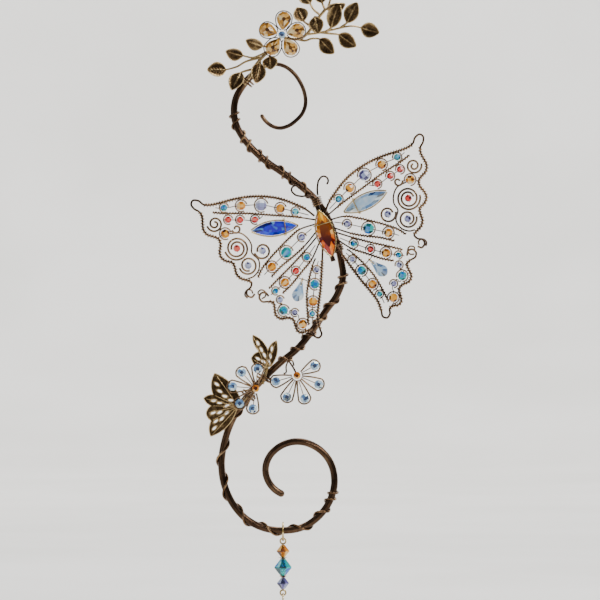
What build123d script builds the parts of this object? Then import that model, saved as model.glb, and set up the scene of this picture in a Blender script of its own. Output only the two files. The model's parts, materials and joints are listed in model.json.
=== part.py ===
from build123d import *
import math
import os

# A wire-wrapped crystal butterfly ornament on a hanging scroll, with a bead dangle below.
# Millimetres, +Z up, +X to the right, the front towards -Y.
# The origin is the inside crown of the top curl, where the ornament hangs on its hook.

# Scroll, between the wire centres of its crown and its lowest point
SCROLL_HEIGHT = 196.0
STEM_WIRE = 3.0
CURL_WIRE = 1.7

# Wire wound round the scroll
WRAP_WIRE = 0.95
WRAP_CLEARANCE = 0.3

# Butterfly, from its middle to the tip of a forewing
WING_REACH = 50.5
WING_LIFT = 12.0
BUTTERFLY_LEAN = 16.3
FRAME_WIRE = 0.9
VEIN_WIRE = 0.7
SPIRAL_WIRE = 0.7
SPIRAL_STEP = 0.5
STRING_WIRE = 0.4
STRING_MARGIN = 0.15

# Faceted beads, across their corners, and the hole that a wire goes through
SEED_BEAD = 2.6
SMALL_BEAD = 3.1
MEDIUM_BEAD = 4.1
LARGE_BEAD = 5.0
BEAD_HOLE = 0.7

# Body of the butterfly
SPINE_WIRE = 2.0
SPINE_ABOVE = 15.5
SPINE_BELOW = 12.0
THORAX_WIRE = 0.7
THORAX_CLEARANCE = 0.1
THORAX_PITCH = 1.2
THORAX_TURNS = 12
THORAX_ABOVE = 9.2
BINDING_WIRE = 0.8
BINDING_PITCH = 1.3
HEAD_BINDING_TURNS = 3
TAIL_BINDING_TURNS = 2
BINDING_ABOVE = 14.0
BINDING_BELOW = 7.4
ANTENNA_WIRE = 0.8
SEAT_CLEARANCE = 0.15

# Pointed oval stones in their wire rims
BODY_STONE_LENGTH = 19.2
BODY_STONE_WIDTH = 6.8
BODY_STONE_DEPTH = 4.0
BODY_STONE_TURN = 2.0
WING_STONE_LENGTH = 19.4
WING_STONE_WIDTH = 5.8
WING_STONE_DEPTH = 3.2
STONE_GIRDLE = 0.6
RIM_WIRE = 0.6
RIM_CLEARANCE = 0.1
CLIP_WIRE = 0.5
CLIP_CLEARANCE = 0.1
CLIP_GAP = 1.0

# Teardrop stones on their rings
WING_DROP_LENGTH = 8.0
WING_DROP_WIDTH = 5.0
WING_DROP_DEPTH = 2.6
WING_DROP_HOLE = 0.9
WING_DROP_INSET = 0.85
WING_RING_RADIUS = 1.5
HUNG_DROP_LENGTH = 13.0
HUNG_DROP_WIDTH = 8.0
HUNG_DROP_DEPTH = 4.4
HUNG_DROP_HOLE = 1.3
HUNG_DROP_INSET = 1.25
DROP_GIRDLE = 0.6

# Stamped brass leaf sprigs behind the top flower, and the ties of all the leaves
SPRIG_WIDTH = 1.3
BRANCH_WIDTH = 1.0
SPRIG_THICKNESS = 1.0
SPRIG_CLEARANCE = 0.2
LEAF_WIDTH = 6.2
LEAF_THICKNESS = 0.6
TIE_WIRE = 0.7
TIE_PITCH = 1.2
TIE_TURNS = 2
TIE_CLEARANCE = 0.3

# Pierced brass leaves of the lower spray
FILIGREE_DEPTH = 3.0
FILIGREE_THICKNESS = 0.7
FILIGREE_HOLE = 0.9
TANG_WIDTH = 1.4

# Flowers: petals on pins, each in a wire loop, round a centre bead on a stalk
FLOWER_DEPTH = 6.4
FLOWER_PETAL = 6.2
FLOWER_CENTRE = 3.4
BLOSSOM_DEPTH = 6.7
BLOSSOM_PETAL = 4.0
BLOSSOM_CENTRE = 3.4
LOOP_WIRE = 0.45
LOOP_CLEARANCE = 0.12
LOOP_MOUTH = 0.55
HUB_CLEARANCE = 0.3
STALK_WIRE = 0.8
STALK_CLEARANCE = 0.15

# Bead dangle below the scroll
RING_WIRE = 0.8
RING_RADIUS = 3.3
PIN_WIRE = 0.7
EYE_RADIUS = 0.8
LINK_CLEARANCE = 0.1
AMBER_BICONE = 5.7
TEAL_BICONE = 7.8
GREY_BICONE = 5.4
CAP_RADIUS = 1.9
CAP_THICKNESS = 0.6
BEAD_PLAY = 0.08
DROP_RING_RADIUS = 2.2

# Shares that shape the cut stones: height and reach of each ring of corners
BEAD_SIDES = 8
ROUND_CUT_SHARES = [(-0.86, 0.48), (-0.36, 0.94), (0.36, 0.94), (0.86, 0.48)]
BICONE_CUT_SHARES = [(-0.9, 0.3), (-0.06, 1.0), (0.06, 1.0), (0.9, 0.3)]
STONE_TABLE_SHARE = 0.62
STONE_BACK_SHARE = 0.5
STONE_SIDE_SHARES = [-1.0, -0.84, -0.62, -0.36, -0.12, 0.12, 0.36, 0.62, 0.84]
CLIP_PLACE_SHARE = 0.44
DROP_OUTLINE_SHARES = [(0.0, 0.3), (0.16, 0.42), (0.36, 0.66), (0.55, 0.93), (0.7, 1.0)]
DROP_FOOT_SHARES = [(0.84, 0.84), (0.95, 0.5), (1.0, 0.16)]
DROP_TABLE_SHARE = 0.45
LEAF_RIB_SHARE = 0.3
FILIGREE_BULGE_SHARE = 0.12
STRAIGHT_SHARE = 0.000001
QUARTERS = 4
HALF = 0.5

# Places read from the photograph, in its pixels, x to the right and y down
HANG_PX = (275.0, 66.0)
SCROLL_TOP_PX = 64.0
SCROLL_BOTTOM_PX = 530.5
CURL_PX = [(262, 116), (266, 121.5), (272, 126), (280, 128), (288, 126), (296, 120.5), (302.5, 113),
           (305.5, 104), (304.5, 93), (300, 82), (293, 72.5), (285, 66.5), (275, 64), (266, 65.5)]
TAPER_PX = [(266, 65.5), (251.5, 76)]
STEM_PX = [(251.5, 76), (242, 87), (236, 98), (234, 110), (236, 124), (243, 137.5), (253, 149.5),
           (267, 162), (283, 173), (300, 185.5), (314, 198), (326, 215), (335, 237), (341, 260),
           (343, 277), (337.5, 294), (325, 312), (312, 331), (298, 348), (280, 363), (262, 380),
           (246, 398), (233, 418.5), (224.5, 442), (221.5, 464), (224.5, 485), (233, 504), (247, 519.5),
           (264, 528), (283, 530.5), (303, 527), (320, 515), (331, 498), (334.5, 480), (329, 460),
           (315, 446.5), (297, 441.5), (279, 447), (268, 459), (265.5, 471), (270, 484), (281, 493.5)]
UPPER_CROSSINGS_PX = [(234.5, 114.5), (236.5, 121.5), (243.5, 138), (248, 144.5), (261, 156.5),
                      (265.5, 161), (284, 173.5), (288.5, 177), (305.5, 189.5)]
MIDDLE_CROSSINGS_PX = [(342.5, 276), (341, 283), (331, 303), (320, 320), (308, 335.5), (297, 349),
                       (285, 358.5)]
LOWER_CROSSINGS_PX = [(233, 418.5), (222.5, 452), (225, 487), (243, 516), (269, 529.5), (301, 527.5),
                      (323.5, 511.5), (331, 499), (332.5, 493)]
BUTTERFLY_PX = (325.3, 234.0)
LEFT_ANTENNA_PX = [(314, 197), (308, 196), (301, 196.5), (294.5, 194.5), (291.5, 189.5), (295, 186),
                   (299, 189)]
RIGHT_ANTENNA_PX = [(317.8, 195.6), (317.5, 186), (319, 180), (323.5, 176.5), (328, 180), (326.5, 184.5)]

# Wings in the same pixels, but along the butterfly's own axes, outwards and downwards
WING_REACH_PX = 119.0
FOREWING_EDGE_PX = [(5.5, -20), (12.5, -29), (22, -37), (33, -44.8), (44, -50.2), (55, -53.8), (66, -56.2),
                    (78, -57.5), (90, -57.8), (101, -58.2), (109, -60.5), (113, -65.5), (118.5, -68),
                    (122, -64), (120, -59), (115.5, -55), (114.5, -49.5), (116.5, -43), (118, -36.5),
                    (115, -31), (109, -27.8), (104.5, -24), (104.5, -18), (107.5, -12.5), (108.5, -6.5),
                    (104.5, -1.5), (98, 2), (97, 7.5), (97.2, 14), (94, 19.5), (88.5, 22.8), (85.2, 26),
                    (87.5, 30.2), (91.8, 32.3), (92.8, 36.8), (89, 39.8), (85.3, 37.5)]
FOREWING_VEINS_PX = [
    [(5.5, -16), (19, -22), (28.5, -25.8), (44.5, -31.5), (57, -36), (68, -40), (80, -43.5), (92, -46.8),
     (103, -50.8)],
    [(5.5, -12), (23.3, -11.3), (35.5, -6.1), (47.8, 0.5), (60.7, 8.3), (71, 15.6), (77.5, 23)],
]
HINDWING_EDGE_PX = [(72.5, 43.5), (74.5, 39.5), (79, 38.7), (82, 42.5), (80, 47), (74.5, 48.5), (69.8, 51),
                    (70.2, 57), (71, 63.4), (67, 68.3), (60, 69.3), (55.4, 72.5), (55, 78.5), (54.3, 84.5),
                    (50, 87.5), (44.5, 86.6), (40.8, 89), (39.8, 93.5), (36, 96.6), (32, 94), (32.2, 88.5),
                    (31.5, 78), (27, 66), (21, 52.6), (15.5, 38), (10.5, 24), (5.5, 9)]
HINDWING_VEINS_PX = [
    [(5.5, -6.5), (24, 6), (38, 13), (52, 18.8), (64.5, 26)],
    [(5.5, -2), (24, 10.2), (42, 21), (56, 28.5), (70, 36.5)],
    [(5.5, 3.2), (20, 20), (32, 28.5), (47.5, 39), (58.5, 44.6)],
    [(16.5, 20.5), (21, 26), (30, 41), (36, 55), (39.6, 69.5), (42, 82)],
]
WING_STONE_PX = [(23.0, -15.2), (72.8, -23.2)]
WING_DROP_PX = [(37.3, 39.9), (47.7, 56.2)]
DROP_BAR_REACHES_PX = (3.8, 5.5)

# Each thread of beads: where it starts, its beads, and where it ends
TEAL, AMBER, VIOLET, ROSE = "teal", "amber", "violet", "rose"
BEAD_THREADS_PX = [
    ((11, -22.5), [(TEAL, SMALL_BEAD, (22.8, -29.2)), (AMBER, MEDIUM_BEAD, (36.5, -36.4)),
                   (VIOLET, LARGE_BEAD, (54.3, -44.5)), (AMBER, MEDIUM_BEAD, (73.8, -49.5)),
                   (TEAL, SMALL_BEAD, (90.8, -52.2))], (99, -54.6)),
    ((56, -33.8), [(ROSE, SMALL_BEAD, (64.3, -32.6)), (ROSE, SMALL_BEAD, (78.8, -36.4)),
                   (ROSE, SMALL_BEAD, (90.2, -39.8))], (95, -41.4)),
    ((91.2, -28.4), [(AMBER, MEDIUM_BEAD, (96.9, -27.4))], (103, -26.2)),
    ((12, -8.6), [(VIOLET, SMALL_BEAD, (23.9, -3.2)), (TEAL, LARGE_BEAD, (43.2, 7)),
                  (AMBER, MEDIUM_BEAD, (61.2, 16.6))], (70.5, 22)),
    ((13, 8), [(TEAL, SMALL_BEAD, (24.8, 17.1)), (ROSE, SMALL_BEAD, (39.2, 27)),
               (AMBER, MEDIUM_BEAD, (53.1, 34.9)), (TEAL, SEED_BEAD, (64.5, 40.4))], (70, 42.8)),
    ((14.6, 24), [(VIOLET, SEED_BEAD, (18.8, 31.5)), (TEAL, MEDIUM_BEAD, (24.8, 44.8)),
                  (AMBER, MEDIUM_BEAD, (31.4, 60.9)), (TEAL, SEED_BEAD, (35.4, 72.1))], (37.3, 82)),
    ((62.6, 45.3), [(VIOLET, SEED_BEAD, (62.5, 49.9)), (TEAL, MEDIUM_BEAD, (62.4, 61)),
                    (VIOLET, SEED_BEAD, (52, 66.1)), (AMBER, MEDIUM_BEAD, (47.7, 79.2))], (45.7, 85)),
]

# Wing spirals: middle, outer and inner reach, turns, step to the front or back, and middle bead
SPIRALS_PX = [
    ((90, -10.4), 12.0, 5.3, 2.0, -1, (ROSE, SMALL_BEAD)),
    ((65.7, -1.2), 8.2, 5.0, 1.0, 0, (VIOLET, SMALL_BEAD)),
    ((83.4, 8.8), 9.0, 5.3, 1.25, 1, (VIOLET, SMALL_BEAD)),
    ((104, -39.5), 8.0, 1.6, 1.75, 0, None),
    ((84.6, -29), 4.7, 1.6, 1.0, 0, None),
]

# Leaf sprigs: each branch is a route, the last two points being the foot and tip of its leaf.
# The reach is how far the tip stands forward of the sprig, and the roll turns the leaf on its rib.
LEFT_MAIN_PX = [(280.2, 38.4), (266, 54), (256, 65), (250, 76.6), (244.4, 84.8)]
LEFT_BRANCHES_PX = [
    ([(263, 57.5), (247, 61.5), (237, 67), (226, 70), (207.5, 70.5)], 3.6, 12),
    ([(269, 51), (259, 56), (252, 58), (243, 56), (226, 51.5)], 1.2, -40),
    ([(273, 47), (263, 46.5), (246, 40.5)], -1.2, -45),
    ([(252, 69.5), (241, 73), (232, 91)], 8.6, 20),
    ([(260, 60.5), (260, 63.5), (256, 84)], 7.6, -15),
    ([(270.8, 48.6), (270, 57), (271, 70)], 2.9, 10),
]
RIGHT_MAIN_PX = [(284, 38), (297, 39.5), (305, 36), (313, 26.5), (319, 17.5), (326, 9)]
RIGHT_BRANCHES_PX = [
    ([(306, 35), (320, 33), (333, 30), (350, 26.5), (361, 28), (379, 33.5)], 3.6, 10),
    ([(321, 32.9), (330, 34), (339, 35), (356, 47)], 3.6, 20),
    ([(297, 39.5), (305, 41), (312, 39), (320, 39.5), (334, 54)], 4.8, 25),
    ([(340, 28.3), (347, 23), (357, 3)], 1.2, -15),
    ([(326, 31.7), (331, 28), (339, 4)], 4.8, -15),
    ([(321, 15), (326.5, 9.5), (345, 4.5)], 5.2, 55),
    ([(318.5, 18.3), (314.5, 17.5), (318.5, 34)], 2.4, 10),
    ([(312, 27.7), (303.5, 21.5), (297, 8)], -1.4, 10),
    ([(320.5, 15.6), (314, 10.5), (310, 4), (302, -11)], -1.2, -20),
    ([(325, 10.2), (322, 3), (318, -12)], 1.9, 20),
    ([(327.3, 10.4), (331, -2), (338, -17)], 0, 15),
]
SPRIG_TIE_PX = [(249.8, 78.8), (244.3, 85.3)]

# Flowers and the lower spray
FLOWER_PX = (282, 36)
FLOWER_PETALS_PX = [(284, 19.5), (267, 31), (298, 31.5), (272, 50), (291.5, 50.5)]
LEFT_BLOSSOM_PX = (256, 388)
LEFT_PETALS_PX = [(242, 372), (258, 368.5), (233, 386), (240, 403), (253, 408)]
RIGHT_BLOSSOM_PX = (297, 375)
RIGHT_PETALS_PX = [(314.5, 365.5), (318.5, 384), (304.5, 398), (287, 396.5), (276, 381)]
RIGHT_STALK_END_PX = [(293, 367), (287, 358.5)]
LOWER_LEAF_PX = [(241, 400.5), (215, 373), (213.5, 394.5), (204, 398), (211.5, 405.5), (206.5, 413),
                 (211.5, 420.5), (211, 436), (236, 411.5)]
LOWER_TANG_PX = [(236, 408), (252.5, 391)]
LOWER_TIE_PX = [(250.5, 392.8), (246.5, 397.2)]
LOWER_HOLES_PX = [(217, 384), (220, 391), (225, 396), (231, 400), (214, 400.5), (220, 402.5), (227, 405.5),
                  (213.5, 412.5), (220, 412), (227, 412.5), (216, 421), (222, 418.5), (214.5, 428)]
UPPER_LEAF_PX = [(271, 366), (276.5, 340.5), (268, 350.5), (253, 335), (259.5, 351.5), (251.5, 358),
                 (260.5, 369)]
UPPER_TANG_PX = [(268.5, 362), (262.5, 384)]
UPPER_TIE_PX = [(266.7, 373.7), (261.5, 382.3)]
UPPER_HOLES_PX = [(258, 343), (261.5, 349.5), (264.5, 355), (258, 358.5), (263.5, 361.5), (272, 349),
                  (270.5, 356), (269, 362)]
DANGLE_PX = (283, 530.5)

# Worked out from the sizes above
MM_PER_PX = SCROLL_HEIGHT / (SCROLL_BOTTOM_PX - SCROLL_TOP_PX)
WING_MM_PER_PX = WING_REACH / WING_REACH_PX
STEM_RADIUS = STEM_WIRE / 2
WRAP_RADIUS = STEM_RADIUS + WRAP_CLEARANCE + WRAP_WIRE / 2
WRAPPED_RADIUS = WRAP_RADIUS + WRAP_WIRE / 2
THORAX_RADIUS = SPINE_WIRE / 2 + THORAX_CLEARANCE + THORAX_WIRE / 2
SPINE_DEPTH = STEM_RADIUS + SEAT_CLEARANCE + THORAX_RADIUS + THORAX_WIRE / 2
THORAX_FRONT = SPINE_DEPTH + THORAX_RADIUS + THORAX_WIRE / 2
BODY_STONE_DEPTH_AT = THORAX_FRONT + 2 * CLIP_CLEARANCE + CLIP_WIRE + BODY_STONE_DEPTH / 2
SPRIG_DEPTH = STEM_RADIUS + SPRIG_CLEARANCE + SPRIG_THICKNESS / 2
FRONT = Vector(0, -1, 0)
UP = Vector(0, 0, 1)


def at(px, depth=0):
    """A place in the photograph, this far in front of the scroll's plane."""
    return Vector((px[0] - HANG_PX[0]) * MM_PER_PX, -depth, (HANG_PX[1] - px[1]) * MM_PER_PX)


def on_wing(px, step=0):
    """A place in the plane of the right wing, before the wing is lifted and leaned."""
    return Vector(px[0] * WING_MM_PER_PX, step, -px[1] * WING_MM_PER_PX)


def one_solid(shape):
    """The single solid that a shape should hold."""
    solids = shape.solids()
    if len(solids) != 1:
        raise ValueError(f"expected one solid, found {len(solids)}")
    return solids[0]


def joined(whole, piece):
    """Two overlapping solids as one, which has to be larger than the first."""
    result = one_solid(whole.fuse(piece))
    if result.volume <= whole.volume:
        raise ValueError("a piece was lost in joining")
    return result


def headings(points):
    """The direction at each point of the circle through it and its neighbours."""
    inner = []
    for before, here, after in zip(points, points[1:], points[2:]):
        back = here - before
        ahead = after - here
        inner.append((back / back.length**2 + ahead / ahead.length**2).normalized())
    first = (points[1] - points[0]).normalized()
    last = (points[-1] - points[-2]).normalized()
    if not inner:
        return [first, last]
    start = first * (2 * first.dot(inner[0])) - inner[0]
    end = last * (2 * last.dot(inner[-1])) - inner[-1]
    return [start] + inner + [end]


def run(start, heading, end):
    """A tangent arc, or a straight line where the heading already points at the end."""
    chord = end - start
    if heading.cross(chord).length < STRAIGHT_SHARE * chord.length:
        return Edge.make_line(start, end)
    return Edge.make_tangent_arc(start, heading, end)


def biarc(start, heading, end, arrival):
    """Two tangent arcs from one place and heading to another."""
    chord = end - start
    spread = 2 * (1 - heading.dot(arrival))
    along = chord.dot(heading + arrival)
    if spread < STRAIGHT_SHARE:
        reach = chord.dot(chord) / (2 * along)
    else:
        reach = (math.sqrt(along**2 + spread * chord.dot(chord)) - along) / spread
    knee = start + heading * reach
    elbow = end - arrival * reach
    middle = (knee + elbow) / 2
    return [run(start, heading, middle), run(middle, (elbow - knee).normalized(), end)]


def smooth(points, directions=None):
    """The edges of a smooth wire through the points."""
    directions = directions or headings(points)
    edges = []
    for place in range(len(points) - 1):
        edges += biarc(points[place], directions[place], points[place + 1], directions[place + 1])
    return edges


def tube(edges, diameter):
    """A round wire along tangent edges."""
    path = Wire(edges)
    section = Plane(path @ 0, z_dir=path % 0) * Circle(diameter / 2)
    return one_solid(Solid.sweep(section.face(), path))


def report_gap(name, path, turns, diameter):
    """Prints the least gap between the turns of a wound wire, measured on points."""
    per_turn = 16
    count = max(per_turn, int(turns * per_turn))
    points = [path.position_at(place / count) for place in range(count + 1)]
    gaps = [(a - b).length for i, a in enumerate(points) for b in points[i + per_turn // 2:]]
    print(f"{name}: least gap between turns {min(gaps) - diameter:.2f} mm")


def winding(name, axis, lengths, radius, diameter):
    """A wire wound round an axis, crossing its front at each of the given lengths along it."""
    lead = (lengths[1] - lengths[0]) / 2
    trail = (lengths[-1] - lengths[-2]) / 2
    stations = [lengths[0] - lead] + lengths + [lengths[-1] + trail]
    phases = [-0.5] + list(range(len(lengths))) + [len(lengths) - 0.5]

    def wire_point(step, share):
        length = stations[step] + (stations[step + 1] - stations[step]) * share
        phase = 2 * math.pi * (phases[step] + (phases[step + 1] - phases[step]) * share)
        middle = axis.position_at(length, PositionMode.LENGTH)
        side = axis.tangent_at(length, PositionMode.LENGTH).cross(FRONT)
        return middle + (FRONT * math.cos(phase) + side * math.sin(phase)) * radius

    points = [wire_point(0, 0)]
    for step in range(len(stations) - 1):
        quarters = round(QUARTERS * (phases[step + 1] - phases[step]))
        points += [wire_point(step, (quarter + 1) / quarters) for quarter in range(quarters)]
    edges = smooth(points)
    report_gap(name, Wire(edges), len(lengths), diameter)
    return tube(edges, diameter)


def lengths_along(axis, places):
    """How far along an axis its nearest points to the given places lie."""
    steps = 1500
    samples = [axis.length * step / steps for step in range(steps + 1)]
    points = [axis.position_at(length, PositionMode.LENGTH) for length in samples]
    return [min(zip(samples, points), key=lambda pair: (pair[1] - place).length)[0] for place in places]


def coil(name, middle, direction, turns, pitch, radius, diameter):
    """A plain coil of evenly spaced turns about a straight axis."""
    reach = direction * (pitch * (turns + 2) / 2)
    axis = Edge.make_line(middle - reach, middle + reach)
    lengths = [pitch * (turn + 1.5) for turn in range(turns)]
    return winding(name, axis, lengths, radius, diameter)


def cut_stone(outline, sections):
    """A stone with flat facets: its outline drawn in to each section's share, at that height."""
    rings = []
    for height, share in sections:
        corners = [Vector(x * share, y * share, height) for x, y in outline]
        rings.append(Wire.make_polygon(corners, close=True))
    return one_solid(Solid.make_loft(rings, ruled=True))


def blank_bead(diameter, shares):
    """A faceted bead about Z, before it is drilled."""
    radius = diameter / 2
    corners = [math.pi * (2 * side + 1) / BEAD_SIDES for side in range(BEAD_SIDES)]
    outline = [(radius * math.cos(angle), radius * math.sin(angle)) for angle in corners]
    return cut_stone(outline, [(height * radius, share) for height, share in shares])


def cut_bead(diameter, shares, hole=BEAD_HOLE):
    """A faceted bead about Z, drilled along Z."""
    drill = Solid.make_cylinder(hole / 2, 2 * diameter, Plane((0, 0, -diameter)))
    return one_solid(blank_bead(diameter, shares).cut(drill))


def stand(shape, place, direction):
    """Moves a shape made about Z to a place, with Z along the direction and Y towards the back."""
    return Plane(place, x_dir=FRONT.cross(direction), z_dir=direction).location * shape


def taper_fall():
    """The heading of the straight run where the curl thickens into the rod."""
    start, end = [at(px) for px in TAPER_PX]
    return (end - start).normalized()


def stem_edges():
    """The middle line of the thick rod, edge by edge."""
    points = [at(px) for px in STEM_PX]
    return smooth(points, [taper_fall()] + headings(points)[1:])


def scroll_stem():
    """The scroll: a thick rod that tapers into the thin top curl, with a rounded lower end."""
    curl_points = [at(px) for px in CURL_PX]
    taper_start, taper_end = [at(px) for px in TAPER_PX]
    curl_edges = smooth(curl_points, headings(curl_points)[:-1] + [taper_fall()])
    taper_length = (taper_end - taper_start).length
    taper = Solid.make_cone(CURL_WIRE / 2, STEM_RADIUS, taper_length, Plane(taper_start, z_dir=taper_fall()))
    stem_path = Wire(stem_edges())
    lower_end = Solid.make_sphere(STEM_RADIUS, Plane(stem_path @ 1, z_dir=stem_path % 1), 0, 90, 360)
    curl_path = Wire(curl_edges)
    upper_end = Solid.make_sphere(CURL_WIRE / 2, Plane(curl_path @ 0, z_dir=-(curl_path % 0)), 0, 90, 360)
    pieces = [taper, tube(curl_edges, CURL_WIRE), lower_end, upper_end]
    return one_solid(tube(stem_edges(), STEM_WIRE).fuse(*pieces))


def stem_wrap(name, crossings):
    """Wire wound openly round the scroll, over its front at each crossing."""
    axis = Wire(stem_edges())
    lengths = lengths_along(axis, [at(px) for px in crossings])
    return winding(name, axis, lengths, WRAP_RADIUS, WRAP_WIRE)


def leaf(foot, tip, roll):
    """A flat pointed leaf from its foot to its tip, rolled about its rib."""
    rib = tip - foot
    length = rib.length
    half = LEAF_WIDTH / 2
    sides = [Edge.make_three_point_arc((0, 0), (length / 2, side * half), (length, 0)) for side in (1, -1)]
    plate = extrude(Face(Wire(sides)), LEAF_THICKNESS / 2, both=True)
    facing = FRONT.rotate(Axis((0, 0, 0), rib), roll)
    return Plane(foot, x_dir=rib, z_dir=rib.cross(facing).cross(rib)).location * one_solid(plate)


def beside(edge, aside):
    """An edge of the front plane, moved sideways by this much along its whole length."""
    start, middle, end = [edge @ share + (edge % share).cross(FRONT) * aside for share in (0, HALF, 1)]
    if (edge % 0 - edge % 1).length < STRAIGHT_SHARE:
        return Edge.make_line(start, end)
    return Edge.make_three_point_arc(start, middle, end)


def strip(points, width):
    """The flat face of a stamped stem along a smooth line."""
    edges = smooth(points)
    one_side = [beside(edge, width / 2) for edge in edges]
    other_side = [beside(edge, -width / 2) for edge in edges]
    first_end = Edge.make_line(one_side[0] @ 0, other_side[0] @ 0)
    last_end = Edge.make_line(one_side[-1] @ 1, other_side[-1] @ 1)
    return Face(Wire(one_side + other_side + [first_end, last_end]))


def sprig(main, branches):
    """A stamped sprig: flat stems in one plane, and a tilted leaf at the end of each branch."""
    stems = strip([at(px, SPRIG_DEPTH) for px in main], SPRIG_WIDTH)
    leaves = []
    for route, reach, roll in branches:
        stalk = [at(px, SPRIG_DEPTH) for px in route[:-1]]
        flat_tip = at(route[-1], SPRIG_DEPTH)
        rib_end = stalk[-1] + (flat_tip - stalk[-1]) * LEAF_RIB_SHARE
        stems = stems.fuse(strip(stalk + [rib_end], BRANCH_WIDTH))
        leaves.append(leaf(stalk[-1], flat_tip + FRONT * (reach * MM_PER_PX), roll))
    whole = one_solid(extrude(stems, SPRIG_THICKNESS / 2, dir=FRONT, both=True))
    for piece in leaves:
        whole = joined(whole, piece)
    return whole


def tie(name, place_px, depth, half_thickness):
    """A short coil that ties a piece lying at this depth to the scroll behind it."""
    start, end = [at(px) for px in place_px]
    back, front = -STEM_RADIUS, depth + half_thickness
    middle = (start + end) / 2 + FRONT * ((back + front) / 2)
    radius = (front - back) / 2 + TIE_CLEARANCE + TIE_WIRE / 2
    return coil(name, middle, (end - start).normalized(), TIE_TURNS, TIE_PITCH, radius, TIE_WIRE)


def bulged_edge(start, end):
    """One side of a leaf lobe, an arc that swells to the left of its run."""
    chord = end - start
    swell = chord.cross(FRONT) * FILIGREE_BULGE_SHARE
    return Edge.make_three_point_arc(start, (start + end) / 2 + swell, end)


def filigree_leaf(outline_px, tang_px, holes_px):
    """A flat lobed leaf with pierced holes and a tang that is tied to the scroll."""
    corners = [at(px, FILIGREE_DEPTH) for px in outline_px]
    edges = [bulged_edge(a, b) for a, b in zip(corners, corners[1:])]
    edges.append(Edge.make_line(corners[-1], corners[0]))
    plate = extrude(Face(Wire(edges)), FILIGREE_THICKNESS / 2, dir=FRONT, both=True)
    start, end = [at(px, FILIGREE_DEPTH) for px in tang_px]
    span = end - start
    tang = Box(span.length, TANG_WIDTH, FILIGREE_THICKNESS)
    tang = Plane((start + end) / 2, x_dir=span, z_dir=FRONT).location * tang
    blank = plate.fuse(tang)
    drills = [
        Solid.make_cylinder(FILIGREE_HOLE / 2, FILIGREE_DEPTH, Plane(at(px, FILIGREE_DEPTH / 2), z_dir=FRONT))
        for px in holes_px
    ]
    return one_solid(blank.cut(*drills))


def petal(hub, centre, size, shares, hub_reach):
    """A petal bead with its radial pin, and the wire loop that goes out round it and back."""
    ray = (centre - hub).normalized()
    across = ray.cross(FRONT)
    distance = (centre - hub).length
    height = shares[-1][0] * size / 2
    half = size / 2 + LOOP_CLEARANCE + LOOP_WIRE / 2
    crown = distance + height + LOOP_CLEARANCE + LOOP_WIRE / 2
    near, middle = hub_reach, distance

    def loop_point(along, aside):
        return hub + ray * along + across * aside

    points = [loop_point(near, LOOP_MOUTH), loop_point(middle, half), loop_point(crown, 0),
              loop_point(middle, -half), loop_point(near, -LOOP_MOUTH)]
    turns = headings(points)
    turns[1] = ray
    turns[2] = -across
    turns[3] = -ray
    loop = tube(smooth(points, turns), LOOP_WIRE)
    pin_end = crown - LOOP_WIRE - LOOP_CLEARANCE / 2
    pin = tube([Edge.make_line(loop_point(near, 0), loop_point(pin_end, 0))], STRING_WIRE)
    bead = stand(cut_bead(size, shares), centre, ray)
    return bead, [loop, pin]


def centre_bead(hub, size):
    """A bead that faces the front, drilled from behind to its middle for its stalk."""
    socket = Solid.make_cylinder(STALK_WIRE / 2 + BEAD_PLAY, size, Plane((0, 0, -size)))
    bead = one_solid(blank_bead(size, ROUND_CUT_SHARES).cut(socket))
    return Plane(hub, x_dir=(1, 0, 0), z_dir=FRONT).location * bead


def flower(hub_px, petals_px, depth, size, shares, centre_size, stalk_points):
    """The petal beads, wires and centre bead of one flower on its stalk."""
    hub = at(hub_px, depth)
    beads, wires = [], []
    for px in petals_px:
        bead, petal_wires = petal(hub, at(px, depth), size, shares, centre_size / 2 + HUB_CLEARANCE)
        beads.append(bead)
        wires += petal_wires
    behind = hub - FRONT * centre_size
    stalk_points = [hub - FRONT * BEAD_PLAY, behind] + stalk_points
    stalk = tube(smooth(stalk_points, [-FRONT, -FRONT] + headings(stalk_points)[2:]), STALK_WIRE)
    return beads, wires + [stalk], centre_bead(hub, centre_size)


def rim_edges(length, width, offset):
    """A wire rim round a pointed oval: two long arcs joined by a tight arc round one tip."""
    radius = (length**2 + width**2) / (4 * width)
    lean = math.asin(length / 2 / radius)
    reach = radius + offset

    def rim_point(angle, side):
        return Vector(reach * math.sin(angle), side * (reach * math.cos(angle) - radius + width / 2), 0)

    tip = Vector(-length / 2 - offset, 0, 0)
    return [
        Edge.make_three_point_arc(rim_point(lean, 1), rim_point(0, 1), rim_point(-lean, 1)),
        Edge.make_three_point_arc(rim_point(-lean, 1), tip, rim_point(-lean, -1)),
        Edge.make_three_point_arc(rim_point(-lean, -1), rim_point(0, -1), rim_point(lean, -1)),
    ]


def half_width(length, width, along):
    """Half the width of a pointed oval, this far from its middle."""
    radius = (length**2 + width**2) / (4 * width)
    return math.sqrt(radius**2 - along**2) - radius + width / 2


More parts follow.
